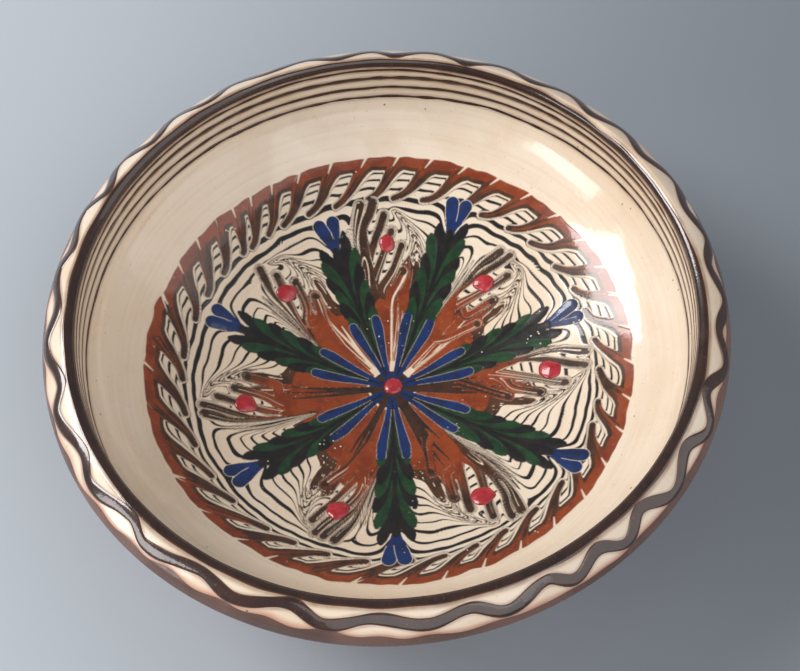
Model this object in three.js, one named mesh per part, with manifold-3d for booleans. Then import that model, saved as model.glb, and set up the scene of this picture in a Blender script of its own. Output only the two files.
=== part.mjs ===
// Hand painted earthenware plate, deep form, slip trailed and combed.
// Millimetres, +Z up. Origin: centre of the foot ring, on the surface the plate stands on.
//
// The plate is a thrown clay body with a foot ring. On it lie, from the clay outwards,
// a cream slip coat, the trailed rings and wave of the rim, the combed border, the ringed
// centre field, and on the field seven combed petals, seven plumes and eight raised dots.
// Every slip layer is a separate solid that follows the bowl of the clay body.
import * as THREE from 'three';
import { mergeVertices } from 'three/addons/utils/BufferGeometryUtils.js';
import Module from 'manifold-3d';

// ---- driving dimensions (mm) ----
const SEG = 40;              // facets round the plate
const RIM_R = 125;           // outside radius of the lip
const FOOT_R_OUT = 51;       // foot ring, outside
const FOOT_R_IN = 44.6;      // foot ring, inside
const COAT = 0.5;            // slip coat thickness
const GAP = 0.06;            // clearance between stacked layers
const SKIN = 0.34;           // thickness of a painted layer
const SIDE_GAP = 0.3;        // clearance between neighbours in one layer
const DECOR_X = 1.0;         // the painted star sits a little off the wheel's axis
const DECOR_Y = -2.1;
const BORDER_R_OUT = 94.2;   // combed border, outside
const BORDER_R_IN = 79.5;    // combed border, inside
const DOT_R = 4.3;           // raised dots
const DOT_H = 1.5;
const WAVES = 27;            // waves of the line on the lip
const WAVE_R = 120.3;        // middle radius of the wave line
const WAVE_AMP = 1.75;
const WAVE_W = 3.6;
// angle (degrees from +X) and radius of the dots, one per petal
const DOTS = [[89.9, 62.8], [47.1, 57.6], [-0.3, 62.4], [-58.5, 62.6], [-110.9, 60.5], [-170.7, 58.1], [135.4, 58.5]];
// angle and tip radius of the plumes
const PLUMES = [[109.5, 77.3], [67.9, 80.5], [17.2, 79.0], [-32.6, 80.5], [-90.1, 80.5], [-144.3, 76.3], [158.2, 77.0]];

// ---- colours ----
const C = {
  clay: 0xb0714c, cream: 0xeadcc2, brown: 0x3b241b, wave: 0x4a3029, orange: 0xa4511f, field: 0xe6dcc6,
  petal: 0x9a6a45, plume: 0x17301f, blue: 0x1c4078, root: 0x1f4782, dot: 0xbf3a44,
};
const mat = (color, roughness) => new THREE.MeshStandardMaterial({ color, roughness, metalness: 0 });

// ---- the bowl: inside of the clay body from the axis to the lip's edge, [r, z] ----
const INNER = [
  [0, 11.0], [20, 12.1], [40, 15.4], [60, 20.7], [79.0, 27.8], [95.2, 35.5], [105.3, 43.9], [111.2, 50.9],
  [113.8, 57.0], [114.2, 69.5], [114.7, 73.1], [115.9, 74.1], [117.1, 73.6], [120.2, 71.6], [123.5, 68.9],
];
// ---- the rest of the clay body: lip edge, outside wall, foot ring, recess ----
const OUTER = [
  [RIM_R, 66.4], [124.5, 63.9], [122.4, 62.8], [120.1, 61.6], [119.4, 57.0], [117.4, 49.0], [110.5, 38.4],
  [101, 30.4], [82, 20.2], [62, 12.4], [52.4, 9.2], [FOOT_R_OUT, 1.0], [FOOT_R_OUT - 0.9, 0], [FOOT_R_IN + 0.9, 0],
  [FOOT_R_IN, 0.9], [43.4, 6.6], [40, 8.0], [20, 5.6], [0, 4.7],
];

// ---- solids ----
const wasm = await Module();
wasm.setup();

// A closed geometry reduced to merged positions, with its faces pointing out.
function solid(geometry) {
  let g = geometry.clone();
  for (const k of Object.keys(g.attributes)) if (k !== 'position') g.deleteAttribute(k);
  g = mergeVertices(g, 1e-4);
  const p = g.attributes.position, old = g.index.array, idx = [];
  for (let i = 0; i < old.length; i += 3) {
    const [a, b, c] = [old[i], old[i + 1], old[i + 2]];
    if (a !== b && b !== c && a !== c) idx.push(a, b, c);
  }
  const A = new THREE.Vector3(), B = new THREE.Vector3(), D = new THREE.Vector3();
  let vol = 0;
  for (let i = 0; i < idx.length; i += 3) {
    A.fromBufferAttribute(p, idx[i]); B.fromBufferAttribute(p, idx[i + 1]); D.fromBufferAttribute(p, idx[i + 2]);
    vol += A.dot(B.cross(D));
  }
  if (vol < 0) for (let i = 0; i < idx.length; i += 3) [idx[i], idx[i + 1]] = [idx[i + 1], idx[i]];
  g.setIndex(idx);
  return g;
}
const toManifold = (g) => new wasm.Manifold(new wasm.Mesh({
  numProp: 3, vertProperties: new Float32Array(g.attributes.position.array), triVerts: new Uint32Array(g.index.array),
}));
function fromManifold(m) {
  const mesh = m.getMesh(), n = mesh.numProp, v = mesh.vertProperties, pos = [];
  for (let i = 0; i < v.length; i += n) pos.push(v[i], v[i + 1], v[i + 2]);
  const g = new THREE.BufferGeometry();
  g.setAttribute('position', new THREE.Float32BufferAttribute(pos, 3));
  g.setIndex(Array.from(mesh.triVerts));
  g.computeVertexNormals();
  return g;
}
// A turned solid: the profile [r, z] is closed on itself, or starts and ends on the axis.
function turned(profile, seg = SEG) {
  const pts = profile.map(([r, z]) => new THREE.Vector2(r, z));
  const g = new THREE.LatheGeometry(pts, seg, Math.PI / 2, Math.PI * 2);
  g.rotateX(Math.PI / 2);
  return solid(g);
}

// ---- layers that follow the bowl ----
const arc = [0];
for (let i = 1; i < INNER.length; i++) arc.push(arc[i - 1] + Math.hypot(INNER[i][0] - INNER[i - 1][0], INNER[i][1] - INNER[i - 1][1]));
const normalAt = INNER.map((_, i) => {
  if (i === 0) return [0, 1];
  const seg = (a, b) => { const l = Math.hypot(b[0] - a[0], b[1] - a[1]); return [-(b[1] - a[1]) / l, (b[0] - a[0]) / l]; };
  const n0 = seg(INNER[i - 1], INNER[i]), n1 = i + 1 < INNER.length ? seg(INNER[i], INNER[i + 1]) : n0;
  const k = 1 + n0[0] * n1[0] + n0[1] * n1[1];
  return [(n0[0] + n1[0]) / k, (n0[1] + n1[1]) / k];
});
// point at arc length s along the bowl, raised by o
function onBowl(s, o) {
  let i = 0;
  while (i < arc.length - 2 && arc[i + 1] < s) i++;
  const t = (s - arc[i]) / (arc[i + 1] - arc[i]);
  const f = (k) => [INNER[k][0] + normalAt[k][0] * o, INNER[k][1] + normalAt[k][1] * o];
  const a = f(i), b = f(i + 1);
  return [a[0] + (b[0] - a[0]) * t, a[1] + (b[1] - a[1]) * t];
}
const arcAtR = (r) => { for (let i = 1; i < arc.length; i++) if (INNER[i][0] >= r) return arc[i - 1] + (arc[i] - arc[i - 1]) * (r - INNER[i - 1][0]) / (INNER[i][0] - INNER[i - 1][0]); return arc.at(-1); };
const arcAtZ = (z) => { for (let i = 1; i < arc.length; i++) if (INNER[i][1] >= z) return arc[i - 1] + (arc[i] - arc[i - 1]) * (z - INNER[i - 1][1]) / (INNER[i][1] - INNER[i - 1][1]); return arc.at(-1); };
// a skin between arc lengths s0 and s1, from o0 to o1 above the clay
function skin(s0, s1, o0, o1) {
  const stops = [s0, ...arc.filter((s) => s > s0 + 1e-6 && s < s1 - 1e-6), s1];
  const low = stops.map((s) => onBowl(s, o0)), high = stops.map((s) => onBowl(s, o1)).reverse();
  const p = [...low, ...high];
  if (s0 > 0) p.push(low[0]);
  return turned(p);
}
const L1 = GAP + COAT + GAP, L1T = L1 + SKIN;      // layer on the coat
const L2 = L1T + GAP, L2T = L2 + SKIN;             // layer on the field

// an upright prism over an outline in plan, cut from a skin
function prism(points, holes = []) {
  const shape = new THREE.Shape(points.map(([x, y]) => new THREE.Vector2(x, y)));
  for (const h of holes) shape.holes.push(new THREE.Path(h.map(([x, y]) => new THREE.Vector2(x, y))));
  return solid(new THREE.ExtrudeGeometry(shape, { depth: 90, bevelEnabled: false, steps: 1 }));
}
const fieldSkin = toManifold(skin(0, arcAtR(86), L2, L2T));
const cutFrom = (skinSolid, points, holes) => fromManifold(toManifold(prism(points, holes)).intersect(skinSolid));

// place an outline drawn along +X from the star's centre at an angle
const spin = (points, deg) => {
  const a = THREE.MathUtils.degToRad(deg), c = Math.cos(a), s = Math.sin(a);
  return points.map(([x, y]) => [DECOR_X + x * c - y * s, DECOR_Y + x * s + y * c]);
};
const mirror = (half) => [...half, ...half.slice().reverse().filter(([, y]) => Math.abs(y) > 1e-9).map(([x, y]) => [x, -y])];

const group = new THREE.Group();
function add(name, geometry, material) {
  const mesh = new THREE.Mesh(geometry, material);
  mesh.name = name;
  group.add(mesh);
  return mesh;
}

// ---- body and coat ----
add('clay_body', turned([...INNER, ...OUTER]), mat(C.clay, 0.55));
add('cream_slip_coat', skin(0, arc.at(-1) - 0.4, GAP, GAP + COAT), mat(C.cream, 0.15));

// ---- rim: band over the crest, wave on the lip, four lines on the wall ----
add('rim_band', skin(arcAtZ(71.6), arcAtR(116.9), L1, L1T), mat(C.brown, 0.15));
const lip = toManifold(skin(arcAtR(116.7), arcAtR(123.3), L1, L1T));
{
  const n = WAVES * 5, inner = [], outer = [];
  for (let i = 0; i < n; i++) {
    const t = (i / n) * Math.PI * 2, r = WAVE_R + WAVE_AMP * Math.cos(WAVES * t), h = (WAVE_W / 2) * 0.55;
    outer.push([(r + h) * Math.cos(t), (r + h) * Math.sin(t)]);
    inner.push([(r - h) * Math.cos(t), (r - h) * Math.sin(t)]);
  }
  add('lip_wave_line', cutFrom(lip, outer, [inner]), mat(C.wave, 0.15));
}
[[69.6, 1.1], [65.4, 2.0], [60.0, 1.5], [55.8, 1.1]].forEach(([z, w], i) =>
  add(`wall_line_${i + 1}`, skin(arcAtZ(z) - w / 2, arcAtZ(z) + w / 2, L1, L1T), mat(C.brown, 0.15)));

// ---- combed border and ringed field ----
add('combed_border', skin(arcAtR(BORDER_R_IN), arcAtR(BORDER_R_OUT), L1, L1T), mat(C.orange, 0.15));
add('ringed_field', skin(0, arcAtR(BORDER_R_IN) - SIDE_GAP, L1, L1T), mat(C.field, 0.15));

// ---- plumes: leaf stack, blue tip, pair of blue roots; drawn along +X ----
const leaves = (R) => mirror([
  [9.0, 0], [9.6, 0.6], [31, 0.9], [32.8, 1.6], [34, 3.2], [38, 4.6], [42.5, 6.2], [44, 5.0], [48, 6.9], [52, 7.4], [53, 5.6],
  [57, 7.2], [61, 7.2], [62, 5.2], [R - 14, 6.4], [R - 10.5, 5.8], [R - 12, 3.2], [R - 17, 1.2], [R - 19, 0],
]);
const tip = (R) => mirror([[R - 18.2, 0], [R - 12.2, 2.7], [R - 8, 3.5], [R - 3, 5.0], [R - 0.4, 4.2], [R, 2.2], [R - 1.6, 0]]);
const root = [[10.5, 1.2], [30.6, 1.4], [31.6, 2.8], [30.8, 4.9], [28, 6.2], [25, 6.3], [20, 4.9], [15, 3.6], [10.5, 2.4]];
const flip = (points) => points.map(([x, y]) => [x, -y]).reverse();
const plumeHull = (R) => mirror([
  [8, 0], [9, 2.6], [15, 4.0], [20, 5.3], [25, 6.7], [29, 6.6], [32.2, 4.4], [34, 4.0], [38, 5.1], [42.5, 6.7], [52, 7.9],
  [61, 7.7], [R - 14, 6.9], [R - 9.5, 6.3], [R - 3, 5.5], [R + 0.3, 4.6], [R + 0.6, 0],
]);
PLUMES.forEach(([a, r], i) => {
  add(`plume_leaves_${i + 1}`, cutFrom(fieldSkin, spin(leaves(r), a)), mat(C.plume, 0.15));
  add(`plume_tip_${i + 1}`, cutFrom(fieldSkin, spin(tip(r), a)), mat(C.blue, 0.15));
  add(`plume_root_${i + 1}_left`, cutFrom(fieldSkin, spin(root, a)), mat(C.root, 0.15));
  add(`plume_root_${i + 1}_right`, cutFrom(fieldSkin, spin(flip(root), a)), mat(C.root, 0.15));
});

// ---- petals: each fills the room between two plumes near the middle and leans to its dot ----
const petal = (R) => mirror([[16, 0], [17.5, 2.4], [24, 5.0], [33, 7.2], [44, 7.6], [56, 8.6], [R + 5, 9.6], [R + 12, 8.0], [R + 16.2, 4.2], [R + 17.5, 0]]);
const turn = (d) => ((d + 540) % 360) - 180;
DOTS.forEach(([a, r], i) => {
  const next = PLUMES.map(([p]) => turn(p - a)), left = Math.min(...next.filter((d) => d > 0)), right = Math.max(...next.filter((d) => d < 0));
  const middle = a + (left + right) / 2;
  const outline = petal(r).map(([x, y]) => {
    const k = THREE.MathUtils.smoothstep(x, 18, 50), t = THREE.MathUtils.degToRad(middle + (a - middle) * k) + Math.atan2(y, x), q = Math.hypot(x, y);
    return [DECOR_X + q * Math.cos(t), DECOR_Y + q * Math.sin(t)];
  });
  let body = toManifold(prism(outline));
  for (const [p, R] of PLUMES) if (Math.abs(turn(p - a)) < 60) body = body.subtract(toManifold(prism(spin(plumeHull(R), p))));
  add(`petal_${i + 1}`, fromManifold(body.intersect(fieldSkin)), mat(C.petal, 0.15));
});

// ---- raised dots: a low dome seated on the petal's layer ----
function dome(x, y, radius, height, base) {
  const r = Math.hypot(x, y), s = arcAtR(r), p = onBowl(s, base);
  const a = onBowl(Math.max(s - 3, 0), base), b = onBowl(s + 3, base);
  const slope = Math.atan2(b[1] - a[1], b[0] - a[0]);
  const prof = [[0, 0], [radius, 0], [radius * 0.96, height * 0.42], [radius * 0.72, height * 0.82], [radius * 0.36, height * 0.98], [0, height]];
  const g = turned(prof, 16);
  const t = Math.atan2(y, x);
  g.rotateY(-slope);
  g.rotateZ(t);
  g.translate(Math.cos(t) * p[0], Math.sin(t) * p[0], p[1]);
  return g;
}
DOTS.forEach(([a, r], i) => {
  const t = THREE.MathUtils.degToRad(a);
  add(`dot_${i + 1}`, dome(DECOR_X + r * Math.cos(t), DECOR_Y + r * Math.sin(t), DOT_R, DOT_H, L2T + 0.28), mat(C.dot, 0.15));
});
add('centre_dot', dome(DECOR_X, DECOR_Y, DOT_R - 0.4, DOT_H, L1T + 0.28), mat(C.dot, 0.15));

export default group;
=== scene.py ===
# Hand painted slipware plate. Every piece is built here from numbers: the slip pattern is made by
# running the potter's comb strokes over rings of slip, and the result is carried by the meshes
# themselves as per vertex colour weights and relief.
import math
import numpy as np
import bpy
from mathutils import Matrix, Vector


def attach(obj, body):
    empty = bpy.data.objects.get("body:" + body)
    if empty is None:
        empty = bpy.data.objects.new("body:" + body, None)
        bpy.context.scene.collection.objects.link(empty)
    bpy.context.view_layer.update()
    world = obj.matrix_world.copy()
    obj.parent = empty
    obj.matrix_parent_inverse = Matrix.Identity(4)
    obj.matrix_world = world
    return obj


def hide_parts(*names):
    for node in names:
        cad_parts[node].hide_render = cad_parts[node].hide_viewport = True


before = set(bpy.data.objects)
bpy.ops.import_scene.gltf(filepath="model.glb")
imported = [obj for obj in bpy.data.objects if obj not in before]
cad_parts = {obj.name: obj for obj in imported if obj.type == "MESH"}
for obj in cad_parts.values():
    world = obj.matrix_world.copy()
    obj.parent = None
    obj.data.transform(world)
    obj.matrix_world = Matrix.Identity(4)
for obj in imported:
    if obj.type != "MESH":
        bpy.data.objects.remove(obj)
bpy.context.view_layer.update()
MM = 0.001

#>>>DESIGN
# ------------------------------------------------------------------ slip pattern (millimetres, in plan)
CX, CY = 1.0, -2.1           # middle of the star
RCX, RCY = 1.1, -2.9         # middle of the field's rings
BCX, BCY = 0.2, 0.6          # middle of the border


def sm(x, a, b):
    t = np.clip((x - a) / (b - a), 0, 1)
    return t * t * (3 - 2 * t)


def ctr(r):
    k = sm(r, 76, 92)
    return RCX * (1 - k) + BCX * k, RCY * (1 - k) + BCY * k


def pol(r, a):
    cx, cy = ctr(np.asarray(r, float))
    a = np.radians(a)
    return np.stack([cx + r * np.cos(a), cy + r * np.sin(a)], -1)


def loc(ang, u, v):          # u outwards along a ray, v clockwise of it
    a = np.radians(ang)
    u = np.asarray(u, float)
    v = np.asarray(v, float)
    return np.stack([CX + u * np.cos(a) + v * np.sin(a), CY + u * np.sin(a) - v * np.cos(a)], -1)


def spline(P, ds):
    P = np.asarray(P, float)
    Q = np.vstack([2 * P[0] - P[1], P, 2 * P[-1] - P[-2]])
    out = []
    for i in range(1, len(Q) - 2):
        t = np.linspace(0, 1, 24, endpoint=False)[:, None]
        a, b, c, d = Q[i - 1], Q[i], Q[i + 1], Q[i + 2]
        out.append(0.5 * ((2 * b) + (c - a) * t + (2 * a - 5 * b + 4 * c - d) * t ** 2 + (3 * b - 3 * c + d - a) * t ** 3))
    out = np.vstack(out + [P[-1:]])
    L = np.r_[0, np.cumsum(np.linalg.norm(np.diff(out, axis=0), axis=1))]
    n = max(4, int(L[-1] / ds))
    s = np.linspace(0, L[-1], n + 1)
    return np.stack([np.interp(s, L, out[:, k]) for k in range(out.shape[1])], -1)


def unstroke(X, Y, P, w, core=0.0, amt=1.0, grow=None):
    """Pull points back through one tool stroke along P. w is the reach of the drag beyond a stiff core."""
    C = spline(P, 0.30 * w)
    big = max(grow) if grow else 1.0
    reach = (core + 3.0 * w) * big
    lo = C.min(0) - reach
    hi = C.max(0) + reach
    idx = np.nonzero((X > lo[0]) & (X < hi[0]) & (Y > lo[1]) & (Y < hi[1]))[0]
    if not len(idx):
        return
    x = X[idx]
    y = Y[idx]
    n = len(C) - 1
    for i in range(n - 1, -1, -1):
        g = 1.0 if grow is None else grow[0] + (grow[1] - grow[0]) * (i + .5) / n
        ww = w * g
        a = core * g
        c = (C[i] + C[i + 1]) / 2
        V = (C[i + 1] - C[i]) * amt
        dx = x - c[0]
        dy = y - c[1]
        m = np.nonzero(dx * dx + dy * dy < (a + 3.0 * ww) ** 2)[0]
        if not len(m):
            continue
        px = x[m]
        py = y[m]

        def vel(qx, qy):
            ex = qx - c[0]
            ey = qy - c[1]
            r = np.sqrt(ex * ex + ey * ey) + 1e-9
            o = np.maximum(r - a, 0)
            f = np.exp(-0.5 * (o / ww) ** 2)
            fp = -(o / (ww * ww)) * f / r
            cr = V[0] * ey - V[1] * ex
            return f * V[0] + fp * ey * cr, f * V[1] - fp * ex * cr
        ux, uy = vel(px, py)
        ux, uy = vel(px - 0.5 * ux, py - 0.5 * uy)
        x[m] = px - ux
        y[m] = py - uy
    X[idx] = x
    Y[idx] = y


def unstream(X, Y, P, lam, A, prof, rise, fall, sides=(1, 1)):
    """Pull points back along a broad drag that follows P: lam is its width along the way, A the length
    dragged on the path itself, prof(eta) the share of it eta widths to the side."""
    C = spline(P, 0.5)
    D = np.diff(C, axis=0)
    s = np.r_[0, np.cumsum(np.linalg.norm(D, axis=1))]
    L = s[-1]
    T = np.vstack([D, D[-1:]])
    T /= np.linalg.norm(T, axis=1, keepdims=True)
    T[1:-1] = T[1:-1] + T[:-2]
    T /= np.linalg.norm(T, axis=1, keepdims=True)
    N = np.stack([-T[:, 1], T[:, 0]], -1)
    W = np.interp(s, np.linspace(0, L, len(lam)), lam)
    R = 3.2 * max(lam)
    lo = C.min(0) - R
    hi = C.max(0) + R
    idx = np.nonzero((X > lo[0]) & (X < hi[0]) & (Y > lo[1]) & (Y < hi[1]))[0]
    if not len(idx):
        return
    x = X[idx]
    y = Y[idx]
    best = np.full(len(x), 1e9)
    bi = np.zeros(len(x), int)
    for i in range(len(C)):
        d = (x - C[i, 0]) ** 2 + (y - C[i, 1]) ** 2
        m = d < best
        best[m] = d[m]
        bi[m] = i
    ex = x - C[bi, 0]
    ey = y - C[bi, 1]
    t = ex * T[bi, 0] + ey * T[bi, 1]
    sv = np.clip(s[bi] + t, 0, L)
    d = ex * N[bi, 0] + ey * N[bi, 1]
    over = (s[bi] + t) - sv
    eta = d / np.interp(sv, s, W)
    g = prof(np.abs(eta)) * np.where(eta > 0, sides[0], sides[1]) * np.exp(-(over / 2.5) ** 2)
    phi = np.clip(sv / rise, 0, 1)
    phi = phi * phi * (3 - 2 * phi)
    e = np.clip((L - sv) / fall, 0, 1)
    phi = phi * e * (2 - e)
    s0 = np.maximum(sv - A * g * phi, 0)
    d0 = eta * np.interp(s0, s, W)
    mv = np.abs(s0 - sv) > 1e-6
    cx, cy, nx, ny, tx, ty = (np.interp(s0, s, q) for q in (C[:, 0], C[:, 1], N[:, 0], N[:, 1], T[:, 0], T[:, 1]))
    X[idx] = np.where(mv, cx + nx * d0 + tx * over, x)
    Y[idx] = np.where(mv, cy + ny * d0 + ty * over, y)


TIPS = [83.4, 74.5, 65.5, 56.5, 47.4, 38.2, 28.6, 19.5, 10.9, 1.6, -8.2, -17.7, -25.9, -35.9, -44.8, -55, -64.1, -73.2,
        -82.3, -91.8, -102.7, -112.3, -121.8, -130.9, -142, -152, -162.7, -172.5, -182.7, -191.1, -202.3, -210.5, -218.4,
        -225.5, -230, -236.1, -242.5, -250.9, -259.5, -268.6]
PETALS = [(89.9, 62.8), (47.1, 57.6), (-0.3, 62.4), (-58.5, 62.6), (-110.9, 60.5), (-170.7, 58.1), (135.4, 58.5)]
PLUMES = [(109.5, 77.3), (67.9, 84.3), (17.2, 79.7), (-32.6, 84.3), (-90.1, 82.4), (-144.3, 76.3), (158.2, 77.7)]
# ends of the strokes drawn outwards in each petal: (sideways, along)
EYES = [[(-11, 78.5), (-5.5, 79.5), (-1, 74.5), (2, 68), (6, 62), (6.5, 51)],
        [(-3, 71.5), (1.5, 72.5), (6, 65.5), (7.5, 54), (9, 43)],
        [(-4.8, 76.5), (1.2, 76), (7, 68), (9.5, 58.5), (9, 46)],
        [(-7, 77), (-3, 77), (2.5, 73), (7, 65), (9, 57), (9, 42)],
        [(-4, 74), (.5, 74), (4, 73.5), (7, 68.5), (9, 51.5)],
        [(-4, 74), (0, 74.2), (3.5, 68.5), (7, 61.5), (12, 56)],
        [(-1, 72.5), (2.3, 66.5), (6, 60), (8, 50)]]
WAIST = [(-8.5, 33), (-7, 34), (-7, 30), (-6, 27), (-8, 30), (-6, 30), (-7.5, 32)]
LEFT = [(-13, 80), (-8, 74), (-9, 78), (-11, 80), (-9, 77), (-9, 77), (-7, 75)]


def untooth(X, Y, P, wid, flat, soft, A, rise):
    """Pull points back along one comb tooth: everything within flat of its line is carried A along it,
    and that dies away over soft to either side. wid scales both along the way. The end is round."""
    C = spline(P, 0.4)
    D = np.diff(C, axis=0)
    s = np.r_[0, np.cumsum(np.linalg.norm(D, axis=1))]
    L = s[-1]
    T = np.vstack([D, D[-1:]])
    T /= np.linalg.norm(T, axis=1, keepdims=True)
    T[1:-1] = T[1:-1] + T[:-2]
    T /= np.linalg.norm(T, axis=1, keepdims=True)
    N = np.stack([-T[:, 1], T[:, 0]], -1)
    W = np.interp(s, np.linspace(0, L, len(wid)), wid)
    R = (flat + soft) * max(wid) + 0.5
    lo = C.min(0) - R
    hi = C.max(0) + R
    idx = np.nonzero((X > lo[0]) & (X < hi[0]) & (Y > lo[1]) & (Y < hi[1]))[0]
    if not len(idx):
        return
    x = X[idx]
    y = Y[idx]
    best = np.full(len(x), 1e9)
    bi = np.zeros(len(x), int)
    for i in range(len(C)):
        d = (x - C[i, 0]) ** 2 + (y - C[i, 1]) ** 2
        m = d < best
        best[m] = d[m]
        bi[m] = i
    ex = x - C[bi, 0]
    ey = y - C[bi, 1]
    t = s[bi] + ex * T[bi, 0] + ey * T[bi, 1]
    sv = np.clip(t, 0, L)
    over = t - sv
    d = ex * N[bi, 0] + ey * N[bi, 1]
    w = np.interp(sv, s, W)
    eta = np.hypot(d, np.maximum(over, 0)) / w
    g = 1 - sm(eta, flat, flat + soft)
    g = g * g * (2 - g)
    g = g * (over > -0.001)
    phi = np.clip(sv / rise, 0, 1)
    phi = phi * phi * (3 - 2 * phi)
    s0 = np.maximum(t - A * L * g * phi, 0)
    s0 = np.where(g > 0, s0, t)
    k = np.interp(np.clip(s0, 0, L), s, W) / w
    d0 = d * (1 + (k - 1) * g)
    o0 = s0 - np.clip(s0, 0, L)
    mv = (g > 1e-4) & (phi > 1e-4)
    sc = np.clip(s0, 0, L)
    cx, cy, nx, ny, tx, ty = (np.interp(sc, s, q) for q in (C[:, 0], C[:, 1], N[:, 0], N[:, 1], T[:, 0], T[:, 1]))
    X[idx] = np.where(mv, cx + nx * d0 + tx * o0, x)
    Y[idx] = np.where(mv, cy + ny * d0 + ty * o0, y)


def field_ops():
    S = []
    n = len(TIPS)
    for i, t in enumerate(TIPS):
        k = ((t - TIPS[(i + 1) % n]) % 360) / 9.2
        g = np.random.default_rng(300 + i)
        q = g.normal(0, 0.3, 4)
        P = [pol(91.4, t - 7.4 * k), pol(90.2, t - 6.0 * k), pol(87.6 + q[0] * .4, t - 3.9 * k), pol(84.4 + q[1] * .5, t - 1.3 * k),
             pol(82.0 + q[2] * .5, t + 1.6 * k), pol(80.9 + q[3] * .5, t + 4.3 * k + q[0])]
        S.append(("t", P, (1.2, 0.95, 0.78, 0.6, 0.62), 1.35, 2.5, 0.97, 5.0))
    for i in range(0, n):
        t = TIPS[i]
        k = ((t - TIPS[(i + 1) % n]) % 360) / 9.2
        if -185 < t < -95 and i % 3:
            continue
        P = [pol(94.9, t - 6.9 * k), pol(93.2, t - 6.1 * k), pol(91.0, t - 5.0 * k)]
        S.append(("t", P, (1.0, 0.7), 0.12, 0.6, 0.9, 1.0))
    for j, (a, r) in enumerate(PETALS):
        ey = EYES[j]
        g = np.random.default_rng(400 + j)
        # orange fingers pushed out of the core, and cream drawn through it from the middle
        for (v, u) in ((-3.4, 41), (6.2, 52), (1.8, 47)):
            v += g.normal(0, 0.5)
            u += g.normal(0, 1.5)
            S.append(("t", [loc(a, 28, v * 0.6), loc(a, 36, v * 0.8), loc(a, u, v)], (1.2, 0.9), 1.3, 1.6, 0.95, 6.0))
        for (v, u) in ((4.0, 43), (0.8, 38), (5.4, 35), (-2.0, 31))[:(4 if j in (2, 3) else 3)]:
            v += g.normal(0, 0.3)
            u += g.normal(0, 2)
            S.append(("t", [loc(a, 8.0, v * 0.2), loc(a, 20, v * 0.55), loc(a, u * .8, v * 0.85), loc(a, u, v + g.normal(0, .4))],
                      (1.3, 1.3, 1.0, 0.5) if j in (2, 3) else (0.9, 0.9, 0.8, 0.4), 0.24, 1.0, 0.97, 3.0))
        P = [loc(a, 40, 9.5), loc(a, 52, 12.3), loc(a, 62, 12.2), loc(a, 69, 9.5), loc(a, min(ey[0][1], 76) - 1.0, 4.5),
             loc(a, min(ey[0][1], 76) + 0.5, 1)]
        S.append(("b", P, [3.0, 3.6, 3.6, 2.6, 1.6, 1.2], 13.0, lambda e: np.exp(-e * e * 0.9), 16.0, 6.0, (1, 1)))
        for (v, u) in ey[::-1]:
            if u < 53:
                P = [loc(a, 27, -0.5), loc(a, u - 12, v - 6.0), loc(a, u - 5, v - 2.4), loc(a, u, v)]
            else:
                P = [loc(a, 40.8, -5.0 + 0.30 * v), loc(a, max(44.5, u - 23), max(v - 8.6, -8.6)), loc(a, u - 11, v - 4.3),
                     loc(a, u - 4.5, v - 1.5), loc(a, u, v)]
            S.append(("t", P, (0.95, 0.8, 0.8, 1.05), 0.9, 2.1, 0.97, 6.0))
        wv, wu = WAIST[j]
        lv, lu = LEFT[j]
        P = [loc(a, lu, lv), loc(a, 66, lv - 1.5), loc(a, 52, lv - 0.8), loc(a, 42, (lv - 0.8 + wv) / 2 - 0.2), loc(a, wu, wv)]
        S.append(("b", P, [4.5, 4.8, 4.4, 2.8, 1.1], 40.0,
                  lambda e: np.where(e < 1.15, np.maximum(0, 1 - e / 1.15) ** 1.6, 0), 40.0, 7.0, (1, 1)))
    for a, r in PLUMES:
        P = [loc(a, r + 2, 0), loc(a, 50, 0), loc(a, 10, 0)]
        S.append(("b", P, [5.5, 6.5, 3.0], 8.0, lambda e: np.exp(-e * e * 1.2), 14.0, 8.0, (1, 1)))
    return S


def run(x, y):
    for o in reversed(field_ops()):
        if o[0] == "t":
            untooth(x, y, *o[1:])
        else:
            unstream(x, y, *o[1:])


LINES = [(47.8, .7), (51.7, .9), (55.5, .8), (59.5, .9), (63.8, .6), (68.4, 1.25), (73.2, .8), (77.0, 1.3),
         (80.2, 1.1), (82.9, .7), (85.7, .7), (88.3, .6)]


def classes(X, Y, NZ, X1=None, Y1=None):
    """Slip laid down before combing: 0 cream, 1 black, 2 orange, 3 brown, and 6 the dark umber it mixes to.
    X1, Y1 is where the point has been dragged to."""
    Rf = np.hypot(X - RCX, Y - RCY)
    Rb = np.hypot(X - BCX, Y - BCY)
    k = sm(Rf, 76, 90)
    R = Rf * (1 - k) + Rb * k + NZ(X, Y)
    out = np.zeros(R.shape, np.uint8)

    def band(a, b, c):
        out[(R >= a) & (R < b)] = c
    band(0, 8.5, 6)
    band(9.5, 39.5, 2)
    band(39.5, 44.2, 3)
    for c, w in LINES:
        band(c - w * 0.62, c + w * 0.62, 1)
    band(89.4, 90.9, 3)
    band(90.9, 94.3, 2)
    if X1 is not None:
        dr = np.hypot(X1 - X, Y1 - Y)
        st = FINE(X, Y)
        far = (out == 2) & (R > 80) & (dr + 5.0 * st > 5.5) & (dr > 2)
        out[far] = 3
        out[far & (st < -0.55) & (dr > 4)] = 2
        out[far & (dr + 5 * st > 15.5)] = 6
        R1 = np.hypot(X1 - CX, Y1 - CY)
        pet = ((out == 2) | (out == 3)) & (R < 60) & (R1 + 6 * st > 50)
        out[pet] = 3
        out[pet & (R1 - 7 * st > 62)] = 6
        out[pet & (st > 0.95)] = 0
        fl = (out == 0) & (R > 44) & (R < 80) & (dr > 7) & (st > 0.25)
        out[fl] = 3
        cr = (out == 0) & (R < 11) & (R1 > 12) & (st > 0.35)
        out[cr] = 2
    return out


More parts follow.
